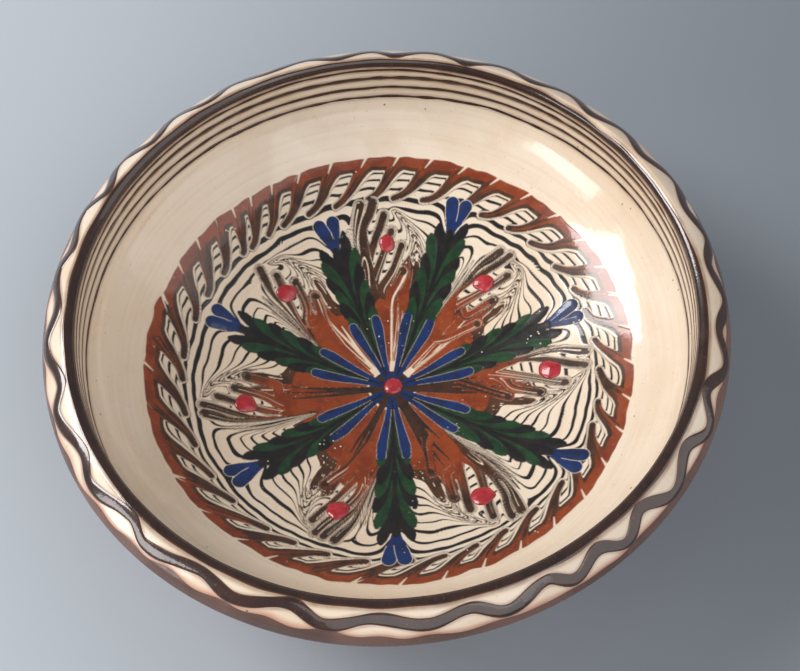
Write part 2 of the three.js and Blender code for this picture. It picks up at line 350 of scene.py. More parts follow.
def noise(seed=3, n=40, smin=6, smax=30, amp=0.25):
    g = np.random.default_rng(seed)
    k = 2 * np.pi / g.uniform(smin, smax, n)
    th = g.uniform(0, 2 * np.pi, n)
    ph = g.uniform(0, 2 * np.pi, n)

    def f(X, Y):
        o = np.zeros_like(X)
        for a, t, p in zip(k, th, ph):
            o += np.sin(a * (X * np.cos(t) + Y * np.sin(t)) + p)
        return o * amp / np.sqrt(n / 2)
    return f


FINE = noise(77, 60, 0.7, 2.6, 0.7)


def paint_eyes(X, Y, cls):
    for j, (a, r) in enumerate(PETALS):
        for (v, u) in EYES[j]:
            g = np.random.default_rng(int(500 + j * 10 + u))
            c = loc(a, u - 0.4, v)
            d = np.hypot(X - c[0], Y - c[1])
            th = np.arctan2(Y - c[1], X - c[0])
            rr = 1.35 + 0.12 * np.sin(2 * th + g.uniform(0, 6)) + 0.08 * np.sin(3 * th + g.uniform(0, 6))
            cls[(d < rr)] = 6
    for i, t in enumerate(TIPS):
        k = ((t - TIPS[(i + 1) % len(TIPS)]) % 360) / 9.2
        g = np.random.default_rng(300 + i)
        q = g.normal(0, 0.3, 4)
        c = pol(81.2 + q[3] * .5, t + 4.0 * k + q[0])
        d = np.hypot(X - c[0], Y - c[1])
        cls[d < 0.95] = 6


def label_map(X, Y):
    """Which piece a plan point belongs to: 0 field, 1 border, 10.. petals (plumes are added by paint_plumes)."""
    Rf = np.hypot(X - RCX, Y - RCY)
    Rb = np.hypot(X - BCX, Y - BCY)
    k = sm(Rf, 76, 90)
    R = Rf * (1 - k) + Rb * k
    lab = np.where(R > 80.9, 1, 0).astype(np.int16)
    for i, (a, r) in enumerate(PETALS):
        ca, sa = np.cos(np.radians(a)), np.sin(np.radians(a))
        u = (X - CX) * ca + (Y - CY) * sa
        v = (X - CX) * sa - (Y - CY) * ca
        half = np.interp(u, [5, 12, 25, 40, 52, 62, 70, 76, 79.5], [0.4, 2.4, 5.2, 8.6, 11.4, 11.6, 9.2, 5.6, 0.2])
        mid = np.interp(u, [0, 30, 55, 80], [0, 0, 0.5, -3.0])
        lab[(np.abs(v - mid) < half) & (u > 5) & (R <= 80.9)] = 10 + i
    return lab


def plume_drops(R, g):
    """Drops of one plume from the tip inwards: (class, label kind, line of centres, radii)."""
    D = []

    def j(s):
        return g.normal(0, s)
    D.append((4, 30, [(R - 2.6, 2.9), (R - 6.0, 2.0), (R - 11, 0.8), (R - 17, 0.1)], [2.7, 2.6, 1.8, 0.9]))
    D.append((4, 30, [(R - 2.6, -2.9), (R - 6.0, -2.0), (R - 11, -0.8), (R - 17, -0.1)], [2.7, 2.6, 1.8, 0.9]))
    D.append((1, 20, [(R - 14, 0), (R - 22, 0), (44, 0), (34, 0), (24, 0)], [1.5, 3.6, 4.4, 3.4, 0.8]))
    n = max(3, int(round((R - 13.5 - 31) / 6.9)) + 1)
    us = np.linspace(R - 12.5, 33.5, n)
    cl = [1, 5] * n
    if n % 2:
        cl[n - 1] = 5
    for k, u in enumerate(us):
        for sg in (-1, 1):
            uu = u + j(0.6) + 0.8 * sg
            f = (u - 32) / (R - 44)
            hv = sg * (np.interp(f, [0, 0.3, 0.6, 0.85, 1.0], [4.9, 6.1, 6.6, 6.4, 5.4]) + j(0.35))
            r = np.interp(f, [0, 0.5, 1], [2.2, 2.35, 2.4]) + j(0.12)
            P = [(uu + 1.6, hv * 1.05), (uu - 0.6, hv * 0.96), (uu - 3.6, hv * 0.78), (uu - 7.5, hv * 0.54), (uu - 11.5, hv * 0.34),
                 (uu - 16, hv * 0.18), (uu - 24, hv * 0.05)]
            D.append((cl[k], 20, P, [r * 0.42, r * 0.86, r * 0.98, r * 0.72, r * 0.46, 0.75, 0.4]))
    D.append((1, 20, [(R - 15, 0), (R - 30, 0), (20, 0), (6, 0)], [0.45, 0.95, 0.75, 0.5]))
    for sg in (-1, 1):
        D.append((4, 50 if sg > 0 else 40, [(31.0 + j(.6), sg * 4.9), (27, sg * 4.5), (20, sg * 3.2), (13, sg * 1.9), (4.2, sg * 0.75)],
                  [1.8, 2.05, 1.6, 1.15, 0.65]))
    return D


def paint_plumes(X, Y, cls, hgt, lab):
    for k, (a, R) in enumerate(PLUMES):
        g = np.random.default_rng(100 + k)
        ca, sa = np.cos(np.radians(a)), np.sin(np.radians(a))
        U = (X - CX) * ca + (Y - CY) * sa
        V = (X - CX) * sa - (Y - CY) * ca
        sel = np.nonzero((U > 2) & (U < R + 4) & (np.abs(V) < 12))[0]
        u = U[sel]
        v = V[sel]
        for c, kind, P, rr in plume_drops(R, g):
            C = spline(P, 0.6)
            L = np.r_[0, np.cumsum(np.linalg.norm(np.diff(C, axis=0), axis=1))]
            Pp = np.asarray(P, float)
            LP = np.r_[0, np.cumsum(np.linalg.norm(np.diff(Pp, axis=0), axis=1))]
            LP *= L[-1] / LP[-1]
            rad = np.interp(L, LP, rr)
            lo = C.min(0) - 3.5
            hi = C.max(0) + 3.5
            m = np.nonzero((u > lo[0]) & (u < hi[0]) & (v > lo[1]) & (v < hi[1]))[0]
            d = np.full(len(m), 9.0)
            q_ = np.ones(len(m))
            for i in range(len(C)):
                e = np.hypot(u[m] - C[i, 0], v[m] - C[i, 1]) - rad[i]
                q = e < d
                d[q] = e[q]
                q_[q] = rad[i]
            ins = m[d < 0]
            if c == 4:
                o = m[(d >= 0) & (d < np.where(u[m] > R - 9, 0.2, 0.1)) & ((u[m] > R - 9) | ((u[m] < 33) & (u[m] > 10)))]
                cls[sel[o]] = 0
            cls[sel[ins]] = c
            lab[sel[ins]] = kind + k
            hgt[sel[m]] = np.maximum(hgt[sel[m]], np.clip(-d / np.maximum(q_, .3), 0, 1) ** 0.6 * 0.18)
#<<<DESIGN


# ------------------------------------------------------------------ the plate's surfaces (millimetres)
def centripetal(P, per=40):
    P = np.asarray(P, float)
    Q = np.vstack([2 * P[0] - P[1], P, 2 * P[-1] - P[-2]])
    out = []
    for i in range(1, len(Q) - 2):
        p0, p1, p2, p3 = Q[i - 1:i + 3]
        t1 = np.hypot(*(p1 - p0)) ** .5
        t2 = t1 + np.hypot(*(p2 - p1)) ** .5
        t3 = t2 + np.hypot(*(p3 - p2)) ** .5
        t = np.linspace(t1, t2, per, endpoint=False)[:, None]
        a1 = (t1 - t) / t1 * p0 + t / t1 * p1
        a2 = (t2 - t) / (t2 - t1) * p1 + (t - t1) / (t2 - t1) * p2
        a3 = (t3 - t) / (t3 - t2) * p2 + (t - t2) / (t3 - t2) * p3
        b1 = (t2 - t) / t2 * a1 + t / t2 * a2
        b2 = (t3 - t) / (t3 - t1) * a2 + (t - t1) / (t3 - t1) * a3
        out.append((t2 - t) / (t2 - t1) * b1 + (t - t1) / (t2 - t1) * b2)
    return np.vstack(out + [P[-1:]])


def push(P, o):
    n = []
    for i in range(len(P)):
        if i == 0:
            n.append((0, 1))
            continue
        a = P[i] - P[i - 1]
        a = a / np.hypot(*a)
        n0 = np.array([-a[1], a[0]])
        n1 = n0
        if i + 1 < len(P):
            b = P[i + 1] - P[i]
            b = b / np.hypot(*b)
            n1 = np.array([-b[1], b[0]])
        m = n0 + n1
        n.append(m / np.hypot(*m))
    return P + o * np.array(n)


INNER = np.array([[0, 11.0], [20, 12.1], [40, 15.4], [60, 20.7], [79.0, 27.8], [95.2, 35.5], [105.3, 43.9],
                  [111.2, 50.9], [113.8, 57.0], [114.2, 69.5], [114.7, 73.1], [115.9, 74.1], [117.1, 73.6],
                  [120.2, 71.6], [123.5, 68.9], [125, 66.4], [124.7, 64.4]])
FACE = centripetal(push(INNER, 0.9))                       # the glazed face, middle to lip
FS = np.r_[0, np.cumsum(np.hypot(*np.diff(FACE, axis=0).T))]
FT = np.gradient(FACE, FS, axis=0)
FT /= np.linalg.norm(FT, axis=1, keepdims=True)
S_BORDER = 99.6                                            # where the painted middle ends and the plain wall begins
S_COAT = 156.0                                             # where the cream slip stops on the lip


def rng_waves(seed, n, lo, hi):
    g = np.random.default_rng(seed)
    return g.integers(lo, hi, n), g.uniform(0, 2 * np.pi, n), g.normal(0, 1, n) / np.sqrt(n / 2)


def around(th, seed, n=9, lo=2, hi=14):
    """A smooth closed random curve of angle, about 1 high."""
    k, p, a = rng_waves(seed, n, lo, hi)
    out = np.zeros_like(th)
    for i in range(n):
        out = out + a[i] * np.sin(k[i] * th + p[i])
    return out


_ts = np.arange(0, 170, 0.25)
_g = np.random.default_rng(11)
_tr = np.convolve(_g.normal(0, 1, len(_ts) + 60), np.hanning(17) / np.hanning(17).sum(), "same")[30:-30]
_tr2 = np.convolve(_g.normal(0, 1, len(_ts) + 200), np.hanning(61) / np.hanning(61).sum(), "same")[100:-100]
THROW = _tr * 0.022 + _tr2 * 0.16                          # faint turning rings left by the wheel


def face_point(s, th, h=0.0):
    """A point on the face: s along the section from the middle, th around, h proud of it. Millimetres."""
    r = np.interp(s, FS, FACE[:, 0])
    z = np.interp(s, FS, FACE[:, 1])
    tx = np.interp(s, FS, FT[:, 0])
    tz = np.interp(s, FS, FT[:, 1])
    l = np.hypot(tx, tz)
    tx, tz = tx / l, tz / l
    k = sm(s, 96, 118)
    h = h + np.interp(s, _ts, THROW) * (0.35 + 0.65 * k)
    r = r - tz * h
    z = z + tx * h
    w = sm(r, 60, 118)
    r = r + w * (0.22 * np.sin(2 * th + 0.6) + 0.14 * np.sin(3 * th + 2.1))
    z = z + w * (0.20 * np.sin(2 * th + 1.9) + 0.12 * np.sin(5 * th + 0.4))
    # the upright wall is a little nearer the axis on the -Y side
    r = r - 1.5 * (0.5 - 0.5 * np.sin(th)) * sm(s, 116, 134) * (1 - sm(s, 142.5, 147.5))
    return np.stack([r * np.cos(th), r * np.sin(th), z], -1)


# ------------------------------------------------------------------ mesh helpers
def srgb(r, g, b):
    c = np.array([r, g, b], float) / 255
    return np.where(c <= 0.04045, c / 12.92, ((c + 0.055) / 1.055) ** 2.4)


def col(r, g, b):
    return tuple(float(x) for x in srgb(r, g, b)) + (1.0,)


def make(name, V, F4, F3, mat, replaces, uv=None, normals=None, attrs=None, weld_normals=None):
    """One mesh piece from points in millimetres, quads and triangles. uv is per point, or per corner."""
    me = bpy.data.meshes.new(name)
    F4 = np.asarray(F4, np.int64).reshape(-1, 4)
    F3 = np.asarray(F3, np.int64).reshape(-1, 3)
    used = np.unique(np.r_[F4.ravel(), F3.ravel()])
    if len(used) < len(V):
        back = np.full(len(V), -1)
        back[used] = np.arange(len(used))
        V = V[used]
        F4 = back[F4]
        F3 = back[F3]
        if normals is not None:
            normals = normals[used]
        if attrs:
            attrs = {k: a[used] for k, a in attrs.items()}
        if uv is not None:
            uv = uv[used]
    loops = np.r_[F4.ravel(), F3.ravel()].astype(np.int32)
    start = np.r_[np.arange(len(F4)) * 4, len(F4) * 4 + np.arange(len(F3)) * 3].astype(np.int32)
    me.vertices.add(len(V))
    me.vertices.foreach_set("co", (V * MM).astype(np.float32).ravel())
    me.loops.add(len(loops))
    me.loops.foreach_set("vertex_index", loops)
    me.polygons.add(len(start))
    me.polygons.foreach_set("loop_start", start)
    me.polygons.foreach_set("use_smooth", np.ones(len(start), bool))
    me.update(calc_edges=True)
    if uv is not None:
        l = me.uv_layers.new(name="OFBake")
        l.data.foreach_set("uv", uv[loops].astype(np.float32).ravel())
    for k, a in (attrs or {}).items():
        at = me.color_attributes.new(name=k, type="FLOAT_COLOR", domain="POINT")
        if a.shape[1] == 3:
            a = np.c_[a, np.ones(len(a))]
        at.data.foreach_set("color", a.astype(np.float32).ravel())
    me.validate(clean_customdata=False)
    if normals is not None:
        me.normals_split_custom_set_from_vertices(normals.astype(np.float32))
    me.materials.append(mat)
    o = bpy.data.objects.new(name, me)
    bpy.context.scene.collection.objects.link(o)
    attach(o, "root")
    if replaces:
        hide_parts(*replaces)
    return o


def point_normals(V, F4, F3):
    N = np.zeros_like(V)
    for F in (F4, F3):
        if not len(F):
            continue
        a, b, c = V[F[:, 0]], V[F[:, 1]], V[F[:, 2]]
        n = np.cross(b - a, c - a)
        if F.shape[1] == 4:
            d = V[F[:, 3]]
            n = 0.5 * (n + np.cross(c - a, d - a))
        for k in range(F.shape[1]):
            for q in range(3):
                N[:, q] += np.bincount(F[:, k], n[:, q], len(V))
    return N / np.maximum(np.linalg.norm(N, axis=1, keepdims=True), 1e-12)


def rings(counts, starts):
    """Faces between rings of points, where a ring has the next one's count, or half of it."""
    F4, F3 = [], []
    for k in range(len(counts) - 1):
        a, b, n, m = starts[k], starts[k + 1], counts[k], counts[k + 1]
        if n == 1:
            j = np.arange(m)
            F3.append(np.stack([np.full(m, a), b + j, b + (j + 1) % m], -1))
        elif n == m:
            j = np.arange(n)
            j1 = (j + 1) % n
            F4.append(np.stack([a + j, b + j, b + j1, a + j1], -1))
        elif m == 2 * n:
            j = np.arange(n)
            j1 = (j + 1) % n
            F4.append(np.stack([a + j, b + 2 * j, b + 2 * j + 1, a + j1], -1))
            F3.append(np.stack([a + j1, b + 2 * j + 1, b + (2 * j + 2) % m], -1))
        else:
            j = np.arange(m)
            j1 = (j + 1) % m
            F4.append(np.stack([a + 2 * j + 1, b + j, b + j1, a + (2 * j + 2) % n], -1))
            F3.append(np.stack([a + 2 * j, b + j, a + 2 * j + 1], -1))
    return (np.vstack(F4) if F4 else np.zeros((0, 4), int)), (np.vstack(F3) if F3 else np.zeros((0, 3), int))


def tube_grid(nu, nv, closed_v=True):
    """Quads of a closed band: nu stations around, nv points across each (closed into a loop)."""
    i = np.arange(nu)[:, None]
    j = np.arange(nv)[None, :]
    i1 = (i + 1) % nu
    j1 = (j + 1) % nv
    return np.stack([i * nv + j, i1 * nv + j, i1 * nv + j1, i * nv + j1], -1).reshape(-1, 4)


# ------------------------------------------------------------------ materials
def nodes_of(name):
    m = bpy.data.materials.new(name)
    m.use_nodes = True
    nt = m.node_tree
    nt.nodes.clear()
    return m, nt


class Net:
    """Short names for the nodes that a material is made of."""

    def __init__(self, name):
        self.m, self.nt = nodes_of(name)
        self.pos = self.new("ShaderNodeTexCoord").outputs["Object"]
        self.n = 0

    def new(self, kind, **kw):
        n = self.nt.nodes.new(kind)
        for k, v in kw.items():
            setattr(n, k, v)
        return n

    def put(self, sock, v):
        if isinstance(v, bpy.types.NodeSocket):
            self.nt.links.new(v, sock)
        elif v is not None:
            sock.default_value = v

    def noise(self, scale, detail=2.0, rough=0.5, vec=None, dist=0.0):
        n = self.new("ShaderNodeTexNoise")
        self.put(n.inputs["Vector"], vec or self.pos)
        n.inputs["Scale"].default_value = scale
        n.inputs["Detail"].default_value = detail
        n.inputs["Roughness"].default_value = rough
        n.inputs["Distortion"].default_value = dist
        return n.outputs["Fac"]

    def voronoi(self, scale, out="Distance", vec=None, rnd=1.0):
        n = self.new("ShaderNodeTexVoronoi")
        self.put(n.inputs["Vector"], vec or self.pos)
        n.inputs["Scale"].default_value = scale
        n.inputs["Randomness"].default_value = rnd
        return n.outputs[out]

    def ramp(self, v, a, b, to0=0.0, to1=1.0, smooth=True):
        n = self.new("ShaderNodeMapRange")
        n.interpolation_type = "SMOOTHSTEP" if smooth else "LINEAR"
        self.put(n.inputs["Value"], v)
        n.inputs["From Min"].default_value = a
        n.inputs["From Max"].default_value = b
        n.inputs["To Min"].default_value = to0
        n.inputs["To Max"].default_value = to1
        return n.outputs["Result"]

    def math(self, op, a, b=None, clamp=False):
        n = self.new("ShaderNodeMath", operation=op, use_clamp=clamp)
        self.put(n.inputs[0], a)
        if b is not None:
            self.put(n.inputs[1], b)
        return n.outputs[0]

    def mix(self, f, a, b, mode="MIX"):
        n = self.new("ShaderNodeMix", data_type="RGBA", blend_type=mode)
        self.put(n.inputs[0], f)
        self.put(n.inputs[6], a)
        self.put(n.inputs[7], b)
        return n.outputs[2]

    def attr(self, name):
        n = self.new("ShaderNodeAttribute", attribute_name=name)
        s = self.new("ShaderNodeSeparateColor")
        self.put(s.inputs[0], n.outputs["Color"])
        return s.outputs

    def scaled(self, sx, sy, sz, vec=None):
        n = self.new("ShaderNodeVectorMath", operation="MULTIPLY")
        self.put(n.inputs[0], vec or self.pos)
        n.inputs[1].default_value = (sx, sy, sz)
        return n.outputs[0]

    def radial(self):
        """(distance from the axis, height) in metres."""
        s = self.new("ShaderNodeSeparateXYZ")
        self.put(s.inputs[0], self.pos)
        x2 = self.math("MULTIPLY", s.outputs[0], s.outputs[0])
        y2 = self.math("MULTIPLY", s.outputs[1], s.outputs[1])
        return self.math("SQRT", self.math("ADD", x2, y2)), s.outputs[2]

    def polar_vec(self, kr, ka, kz):
        s = self.new("ShaderNodeSeparateXYZ")
        self.put(s.inputs[0], self.pos)
        r, z = self.radial()
        a = self.math("ARCTAN2", s.outputs[1], s.outputs[0])
        c = self.new("ShaderNodeCombineXYZ")
        # the angle goes round as a circle, so that nothing breaks where it starts again
        self.put(c.inputs[0], self.math("MULTIPLY", self.math("COSINE", a), ka))
        self.put(c.inputs[1], self.math("MULTIPLY", self.math("SINE", a), ka))
        self.put(c.inputs[2], self.math("ADD", self.math("MULTIPLY", r, kr), self.math("MULTIPLY", z, kz)))
        return c.outputs[0]

    def finish(self, color, rough, bump=None, bump_d=0.0002, bump_s=0.3, coat=0.0, coat_r=0.05, spec=0.5, ior=1.5,
               sub=0.0):
        b = self.new("ShaderNodeBsdfPrincipled")
        self.put(b.inputs["Base Color"], color)
        self.put(b.inputs["Roughness"], rough)
        b.inputs["IOR"].default_value = ior
        b.inputs["Specular IOR Level"].default_value = spec
        b.inputs["Coat Weight"].default_value = coat
        b.inputs["Coat Roughness"].default_value = coat_r
        b.inputs["Coat IOR"].default_value = 1.52
        if bump is not None:
            n = self.new("ShaderNodeBump")
            n.inputs["Strength"].default_value = bump_s
            n.inputs["Distance"].default_value = bump_d
            self.put(n.inputs["Height"], bump)
            self.put(b.inputs["Normal"], n.outputs[0])
            self.put(b.inputs["Coat Normal"], n.outputs[0])
        o = self.new("ShaderNodeOutputMaterial")
        self.nt.links.new(b.outputs[0], o.inputs[0])
        return self.m


CREAM = col(242, 220, 194)
CREAM_2 = col(228, 198, 166)
CREAM_3 = col(248, 231, 209)
BLACK = col(12, 8, 6)
BLACK_2 = col(30, 19, 12)
ORANGE = col(150, 63, 14)
ORANGE_2 = col(124, 47, 9)
ORANGE_3 = col(172, 88, 34)
BROWN = col(86, 50, 24)
BROWN_2 = col(56, 31, 14)
BLUE = col(8, 46, 106)
BLUE_2 = col(6, 28, 72)
BLUE_3 = col(20, 68, 130)
GREEN = col(22, 66, 28)
GREEN_2 = col(12, 44, 18)
GREEN_3 = col(42, 90, 40)


def cream_of(n):
    """The cream slip's colour: clouded, with faint turning streaks, warmer where it is thin."""
    cloud = n.ramp(n.noise(16, 3, 0.55), 0.35, 0.68)
    c = n.mix(cloud, CREAM, CREAM_3)
    streak = n.ramp(n.noise(1.0, 3, 0.6, n.polar_vec(420, 1.3, 420)), 0.42, 0.72, 0.0, 0.34)
    c = n.mix(streak, c, CREAM_2)
    speck = n.ramp(n.noise(900, 1, 0.4), 0.70, 0.80, 0.0, 0.35)
    c = n.mix(speck, c, col(170, 132, 92))
    return c


def glaze_bump(n):
    a = n.noise(260, 2, 0.5)
    b = n.noise(1500, 1, 0.5)
    return n.math("ADD", n.math("MULTIPLY", a, 0.8), n.math("MULTIPLY", b, 0.2))


def decor_material(name):
    n = Net(name)
    k = n.attr("ink")        # black, orange, brown
    p = n.attr("paint")      # blue, green, cream
    black = n.mix(n.ramp(n.noise(240, 2), 0.4, 0.7), BLACK, BLACK_2)
    og = n.mix(n.ramp(n.noise(110, 3, 0.6), 0.38, 0.66), ORANGE, ORANGE_2)
    og = n.mix(n.ramp(n.noise(420, 2, 0.6), 0.56, 0.75, 0.0, 0.6), og, ORANGE_3)
    br = n.mix(n.ramp(n.noise(200, 2), 0.35, 0.7), BROWN, BROWN_2)
    bl = n.mix(n.ramp(n.noise(180, 3, 0.6), 0.35, 0.68), BLUE, BLUE_2)
    bl = n.mix(n.ramp(n.noise(700, 2), 0.62, 0.78, 0.0, 0.55), bl, BLUE_3)
    gr = n.mix(n.ramp(n.noise(220, 3, 0.6), 0.35, 0.68), GREEN, GREEN_2)
    gr = n.mix(n.ramp(n.noise(800, 2), 0.60, 0.78, 0.0, 0.5), gr, GREEN_3)
    c = n.mix(p[2], (0, 0, 0, 1), cream_of(n), "ADD")
    for w, q in ((k[0], black), (k[1], og), (k[2], br), (p[0], bl), (p[1], gr)):
        c = n.mix(w, c, q, "ADD")
    pin = n.ramp(n.voronoi(330), 0.10, 0.16, 1.0, 0.0)
    rare = n.ramp(n.noise(60, 1), 0.60, 0.70)
    c = n.mix(n.math("MULTIPLY", pin, rare), c, col(212, 200, 182))
    rough = n.ramp(n.noise(90, 2), 0.3, 0.7, 0.20, 0.32)
    return n.finish(c, rough, glaze_bump(n), 0.00012, 0.35, coat=1.0, coat_r=0.045)


def coat_material(name):
    n = Net(name)
    k = n.attr("ink")        # brown halo, orange edge, pink clay showing through
    c = cream_of(n)
    # warm stains that run with the wall
    st = n.ramp(n.noise(34, 4, 0.6), 0.50, 0.74, 0.0, 0.34)
    c = n.mix(st, c, col(222, 186, 146))
    c = n.mix(n.math("MULTIPLY", k[0], n.ramp(n.noise(140, 2), 0.25, 0.7, 0.65, 1.0)), c, col(122, 78, 46))
    c = n.mix(k[1], c, ORANGE)
    c = n.mix(n.math("MULTIPLY", k[2], n.ramp(n.noise(90, 3), 0.3, 0.65, 0.7, 1.0)), c, col(206, 140, 108))
    pin = n.ramp(n.voronoi(190), 0.05, 0.10, 1.0, 0.0)
    rare = n.ramp(n.noise(40, 1), 0.56, 0.64)
    c = n.mix(n.math("MULTIPLY", pin, rare), c, col(120, 82, 54))
    rough = n.ramp(n.noise(60, 2), 0.3, 0.7, 0.24, 0.38)
    return n.finish(c, rough, glaze_bump(n), 0.00015, 0.35, coat=1.0, coat_r=0.06)


def dark_material(name, c1, c2, c3):
    """Brown trailed slip: dark in the middle, thinner and redder at its edges, glassy."""
    n = Net(name)
    k = n.attr("ink")
    c = n.mix(n.ramp(n.noise(150, 3, 0.6), 0.35, 0.7), c1, c2)
    c = n.mix(n.math("MULTIPLY", k[0], 1.0), c, c3)
    c = n.mix(n.ramp(n.noise(1100, 1), 0.66, 0.8, 0.0, 0.6), c, c3)
    rough = n.ramp(n.noise(110, 2), 0.3, 0.7, 0.16, 0.28)
    return n.finish(c, rough, glaze_bump(n), 0.00018, 0.4, coat=1.0, coat_r=0.04)


def red_material(name):
    n = Net(name)
    c = n.mix(n.ramp(n.noise(260, 3, 0.6), 0.35, 0.7), col(190, 42, 54), col(164, 28, 40))
    c = n.mix(n.ramp(n.noise(900, 2), 0.6, 0.8, 0.0, 0.7), c, col(226, 96, 92))
    k = n.attr("ink")
    c = n.mix(k[0], c, col(120, 26, 30))
    return n.finish(c, n.ramp(n.noise(200, 2), 0.3, 0.7, 0.26, 0.4), glaze_bump(n), 0.00012, 0.4, coat=0.85, coat_r=0.08)


def clay_material(name):
    n = Net(name)
    k = n.attr("ink")        # glazed share
    r, z = n.radial()
    ring = n.noise(1.0, 3, 0.6, n.polar_vec(900, 2.0, 900))
    c = n.mix(n.ramp(n.noise(30, 4, 0.6), 0.35, 0.7), col(168, 100, 66), col(146, 82, 52))
    c = n.mix(n.ramp(ring, 0.42, 0.72, 0.0, 0.45), c, col(184, 120, 84))
    grit = n.ramp(n.noise(1300, 2, 0.6), 0.62, 0.76, 0.0, 0.55)
    c = n.mix(grit, c, col(112, 62, 42))
    # glazed clay: a greyed brown, partly the fired clay's darker tone under glaze and partly painted reflection of the
    # room on the glossy lip
    glazed_tone_and_painted_sheen = n.mix(n.ramp(n.noise(40, 3), 0.35, 0.7), col(124, 96, 86), col(100, 78, 72))
    c = n.mix(k[0], c, glazed_tone_and_painted_sheen)
    rough = n.math("SUBTRACT", n.ramp(n.noise(300, 2), 0.3, 0.7, 0.72, 0.86), n.math("MULTIPLY", k[0], 0.56))
    h = n.math("ADD", n.math("MULTIPLY", ring, 0.6), n.math("MULTIPLY", n.noise(1500, 2, 0.6), 0.5))
    return n.finish(c, rough, h, 0.0002, 0.35)


MAT_DECOR = {k: decor_material(k) for k in ("field_slips", "border_slips", "petal_slips", "leaf_slips", "blue_slips")}
MAT_COAT = coat_material("cream_slip_glazed")
MAT_DARK = dark_material("brown_slip_glazed", col(56, 30, 20), col(38, 22, 16), col(112, 66, 36))
MAT_WAVE = dark_material("wave_slip_glazed", col(66, 40, 32), col(46, 30, 28), col(124, 82, 56))
MAT_RED = red_material("red_slip_glazed")
MAT_CLAY = clay_material("fired_clay")

# ------------------------------------------------------------------ the painted middle
PX = 0.1
HALF = 98.0
NPX = int(2 * HALF / PX)
g = (np.arange(NPX) + 0.5) * PX - HALF
GX, GY = np.meshgrid(g, g)
GX = GX.ravel()
GY = GY.ravel()
INSIDE = np.nonzero(np.hypot(GX, GY) < HALF)[0]
x0 = GX[INSIDE]
y0 = GY[INSIDE]
x = x0.copy()
y = y0.copy()
run(x, y)
cls = classes(x, y, noise(), x0, y0)
paint_eyes(x0, y0, cls)
hgt = np.zeros(len(cls))
lab = label_map(x0, y0)
paint_plumes(x0, y0, cls, hgt, lab)


def grid_of(v, fill=0.0, dt=np.float32):
    a = np.full(NPX * NPX, fill, dt)
    a[INSIDE] = v
    return a.reshape(NPX, NPX)


def blur(a, n=1):
    for _ in range(n):
        b = np.pad(a, 1, mode="edge")
        a = (b[:-2] + 2 * b[1:-1] + b[2:]) * 0.25
        a = a[:, 1:-1] if a.shape[1] > NPX else a
        b = np.pad(a, ((0, 0), (1, 1)), mode="edge")
        a = (b[:, :-2] + 2 * b[:, 1:-1] + b[:, 2:]) * 0.25
    return a


def sample(a, X, Y):
    u = (X + HALF) / PX - 0.5
    v = (Y + HALF) / PX - 0.5
    i = np.clip(u.astype(int), 0, NPX - 2)
    j = np.clip(v.astype(int), 0, NPX - 2)
    fu = np.clip(u - i, 0, 1)
    fv = np.clip(v - j, 0, 1)
    return ((a[j, i] * (1 - fu) + a[j, i + 1] * fu) * (1 - fv) + (a[j + 1, i] * (1 - fu) + a[j + 1, i + 1] * fu) * fv)


# points of the middle: rings of points that double in number outwards
ROW = 0.28
NMAX = 2048
s_end = S_BORDER
rows = int(round(s_end / ROW))
ss = np.linspace(0, s_end, rows + 1)
counts, starts, SV, TV = [], [], [], []
total = 0
n_now = 1
for k, s in enumerate(ss):
    if k == 0:
        n = 1
    else:
        want = 2 * np.pi * s / (ROW * 0.78)
        n = 16
        while n * 2 <= min(NMAX, max(16, want * 1.0001)):
            n *= 2
        n = max(n, n_now if n_now > 1 else n)
        n = min(n, 2 * n_now if n_now > 1 else n)
    n_now = n
    counts.append(n)
    starts.append(total)
    total += n
    SV.append(np.full(n, s))
    TV.append(np.arange(n) / n * 2 * np.pi)
SV = np.concatenate(SV)
TV = np.concatenate(TV)
flat = face_point(SV, TV)
PXY = flat[:, :2]
W = {}
G = {}
for i, nm in enumerate(("cream", "black", "orange", "brown", "blue", "green")):
    a = (cls == i).astype(np.float32)
    if i in (1, 3):
        a += (cls == 6) * (0.42 if i == 1 else 0.58)
    a = blur(grid_of(a, 1.0 if i == 0 else 0.0), 2)
    G[nm] = a
    W[nm] = sample(a, PXY[:, 0], PXY[:, 1])
tot = sum(W.values())
for nm in W:
    W[nm] = W[nm] / np.maximum(tot, 1e-6)
relief = sample(blur(grid_of(hgt), 2), PXY[:, 0], PXY[:, 1])
dark = sample(blur(grid_of(((cls == 1) | (cls == 3) | (cls == 6)).astype(np.float32)), 4), PXY[:, 0], PXY[:, 1])
og_ = sample(blur(grid_of((cls == 2).astype(np.float32)), 6), PXY[:, 0], PXY[:, 1])
relief = relief + 0.05 * dark + 0.05 * og_
relief *= sm(s_end - SV, 0, 1.5)
VM = face_point(SV, TV, relief)
F4, F3 = rings(counts, starts)
F4 = F4[:, ::-1]
F3 = F3[:, ::-1]
# turn faces so that they look up
def upward(V, F):
    a, b, c = V[F[:16, 0]], V[F[:16, 1]], V[F[:16, 2]]
    return F if np.cross(b - a, c - a)[:, 2].mean() > 0 else F[:, ::-1]
F4 = upward(VM, F4)
F3 = upward(VM, F3)
NM = point_normals(VM, F4, F3)
ink = np.stack([W["black"], W["orange"], W["brown"]], -1)
paint = np.stack([W["blue"], W["green"], W["cream"]], -1)
LG = grid_of(lab, 0, np.int16)


def face_label(F):
    c = PXY[F].mean(1)
    i = np.clip(((c[:, 0] + HALF) / PX).astype(int), 0, NPX - 1)
    j = np.clip(((c[:, 1] + HALF) / PX).astype(int), 0, NPX - 1)
    return LG[j, i]


L4 = face_label(F4)
L3 = face_label(F3)


def decor_piece(name, labels, mat, replaces):
    a = F4[np.isin(L4, labels)]
    b = F3[np.isin(L3, labels)]
    used = np.unique(np.r_[a.ravel(), b.ravel()])
    lo = PXY[used].min(0)
    span = max(PXY[used].max(0) - lo) * 1.02
    uv = (PXY - lo) / span + 0.01
    return make(name, VM, a, b, mat, replaces, uv, NM, {"ink": ink, "paint": paint})


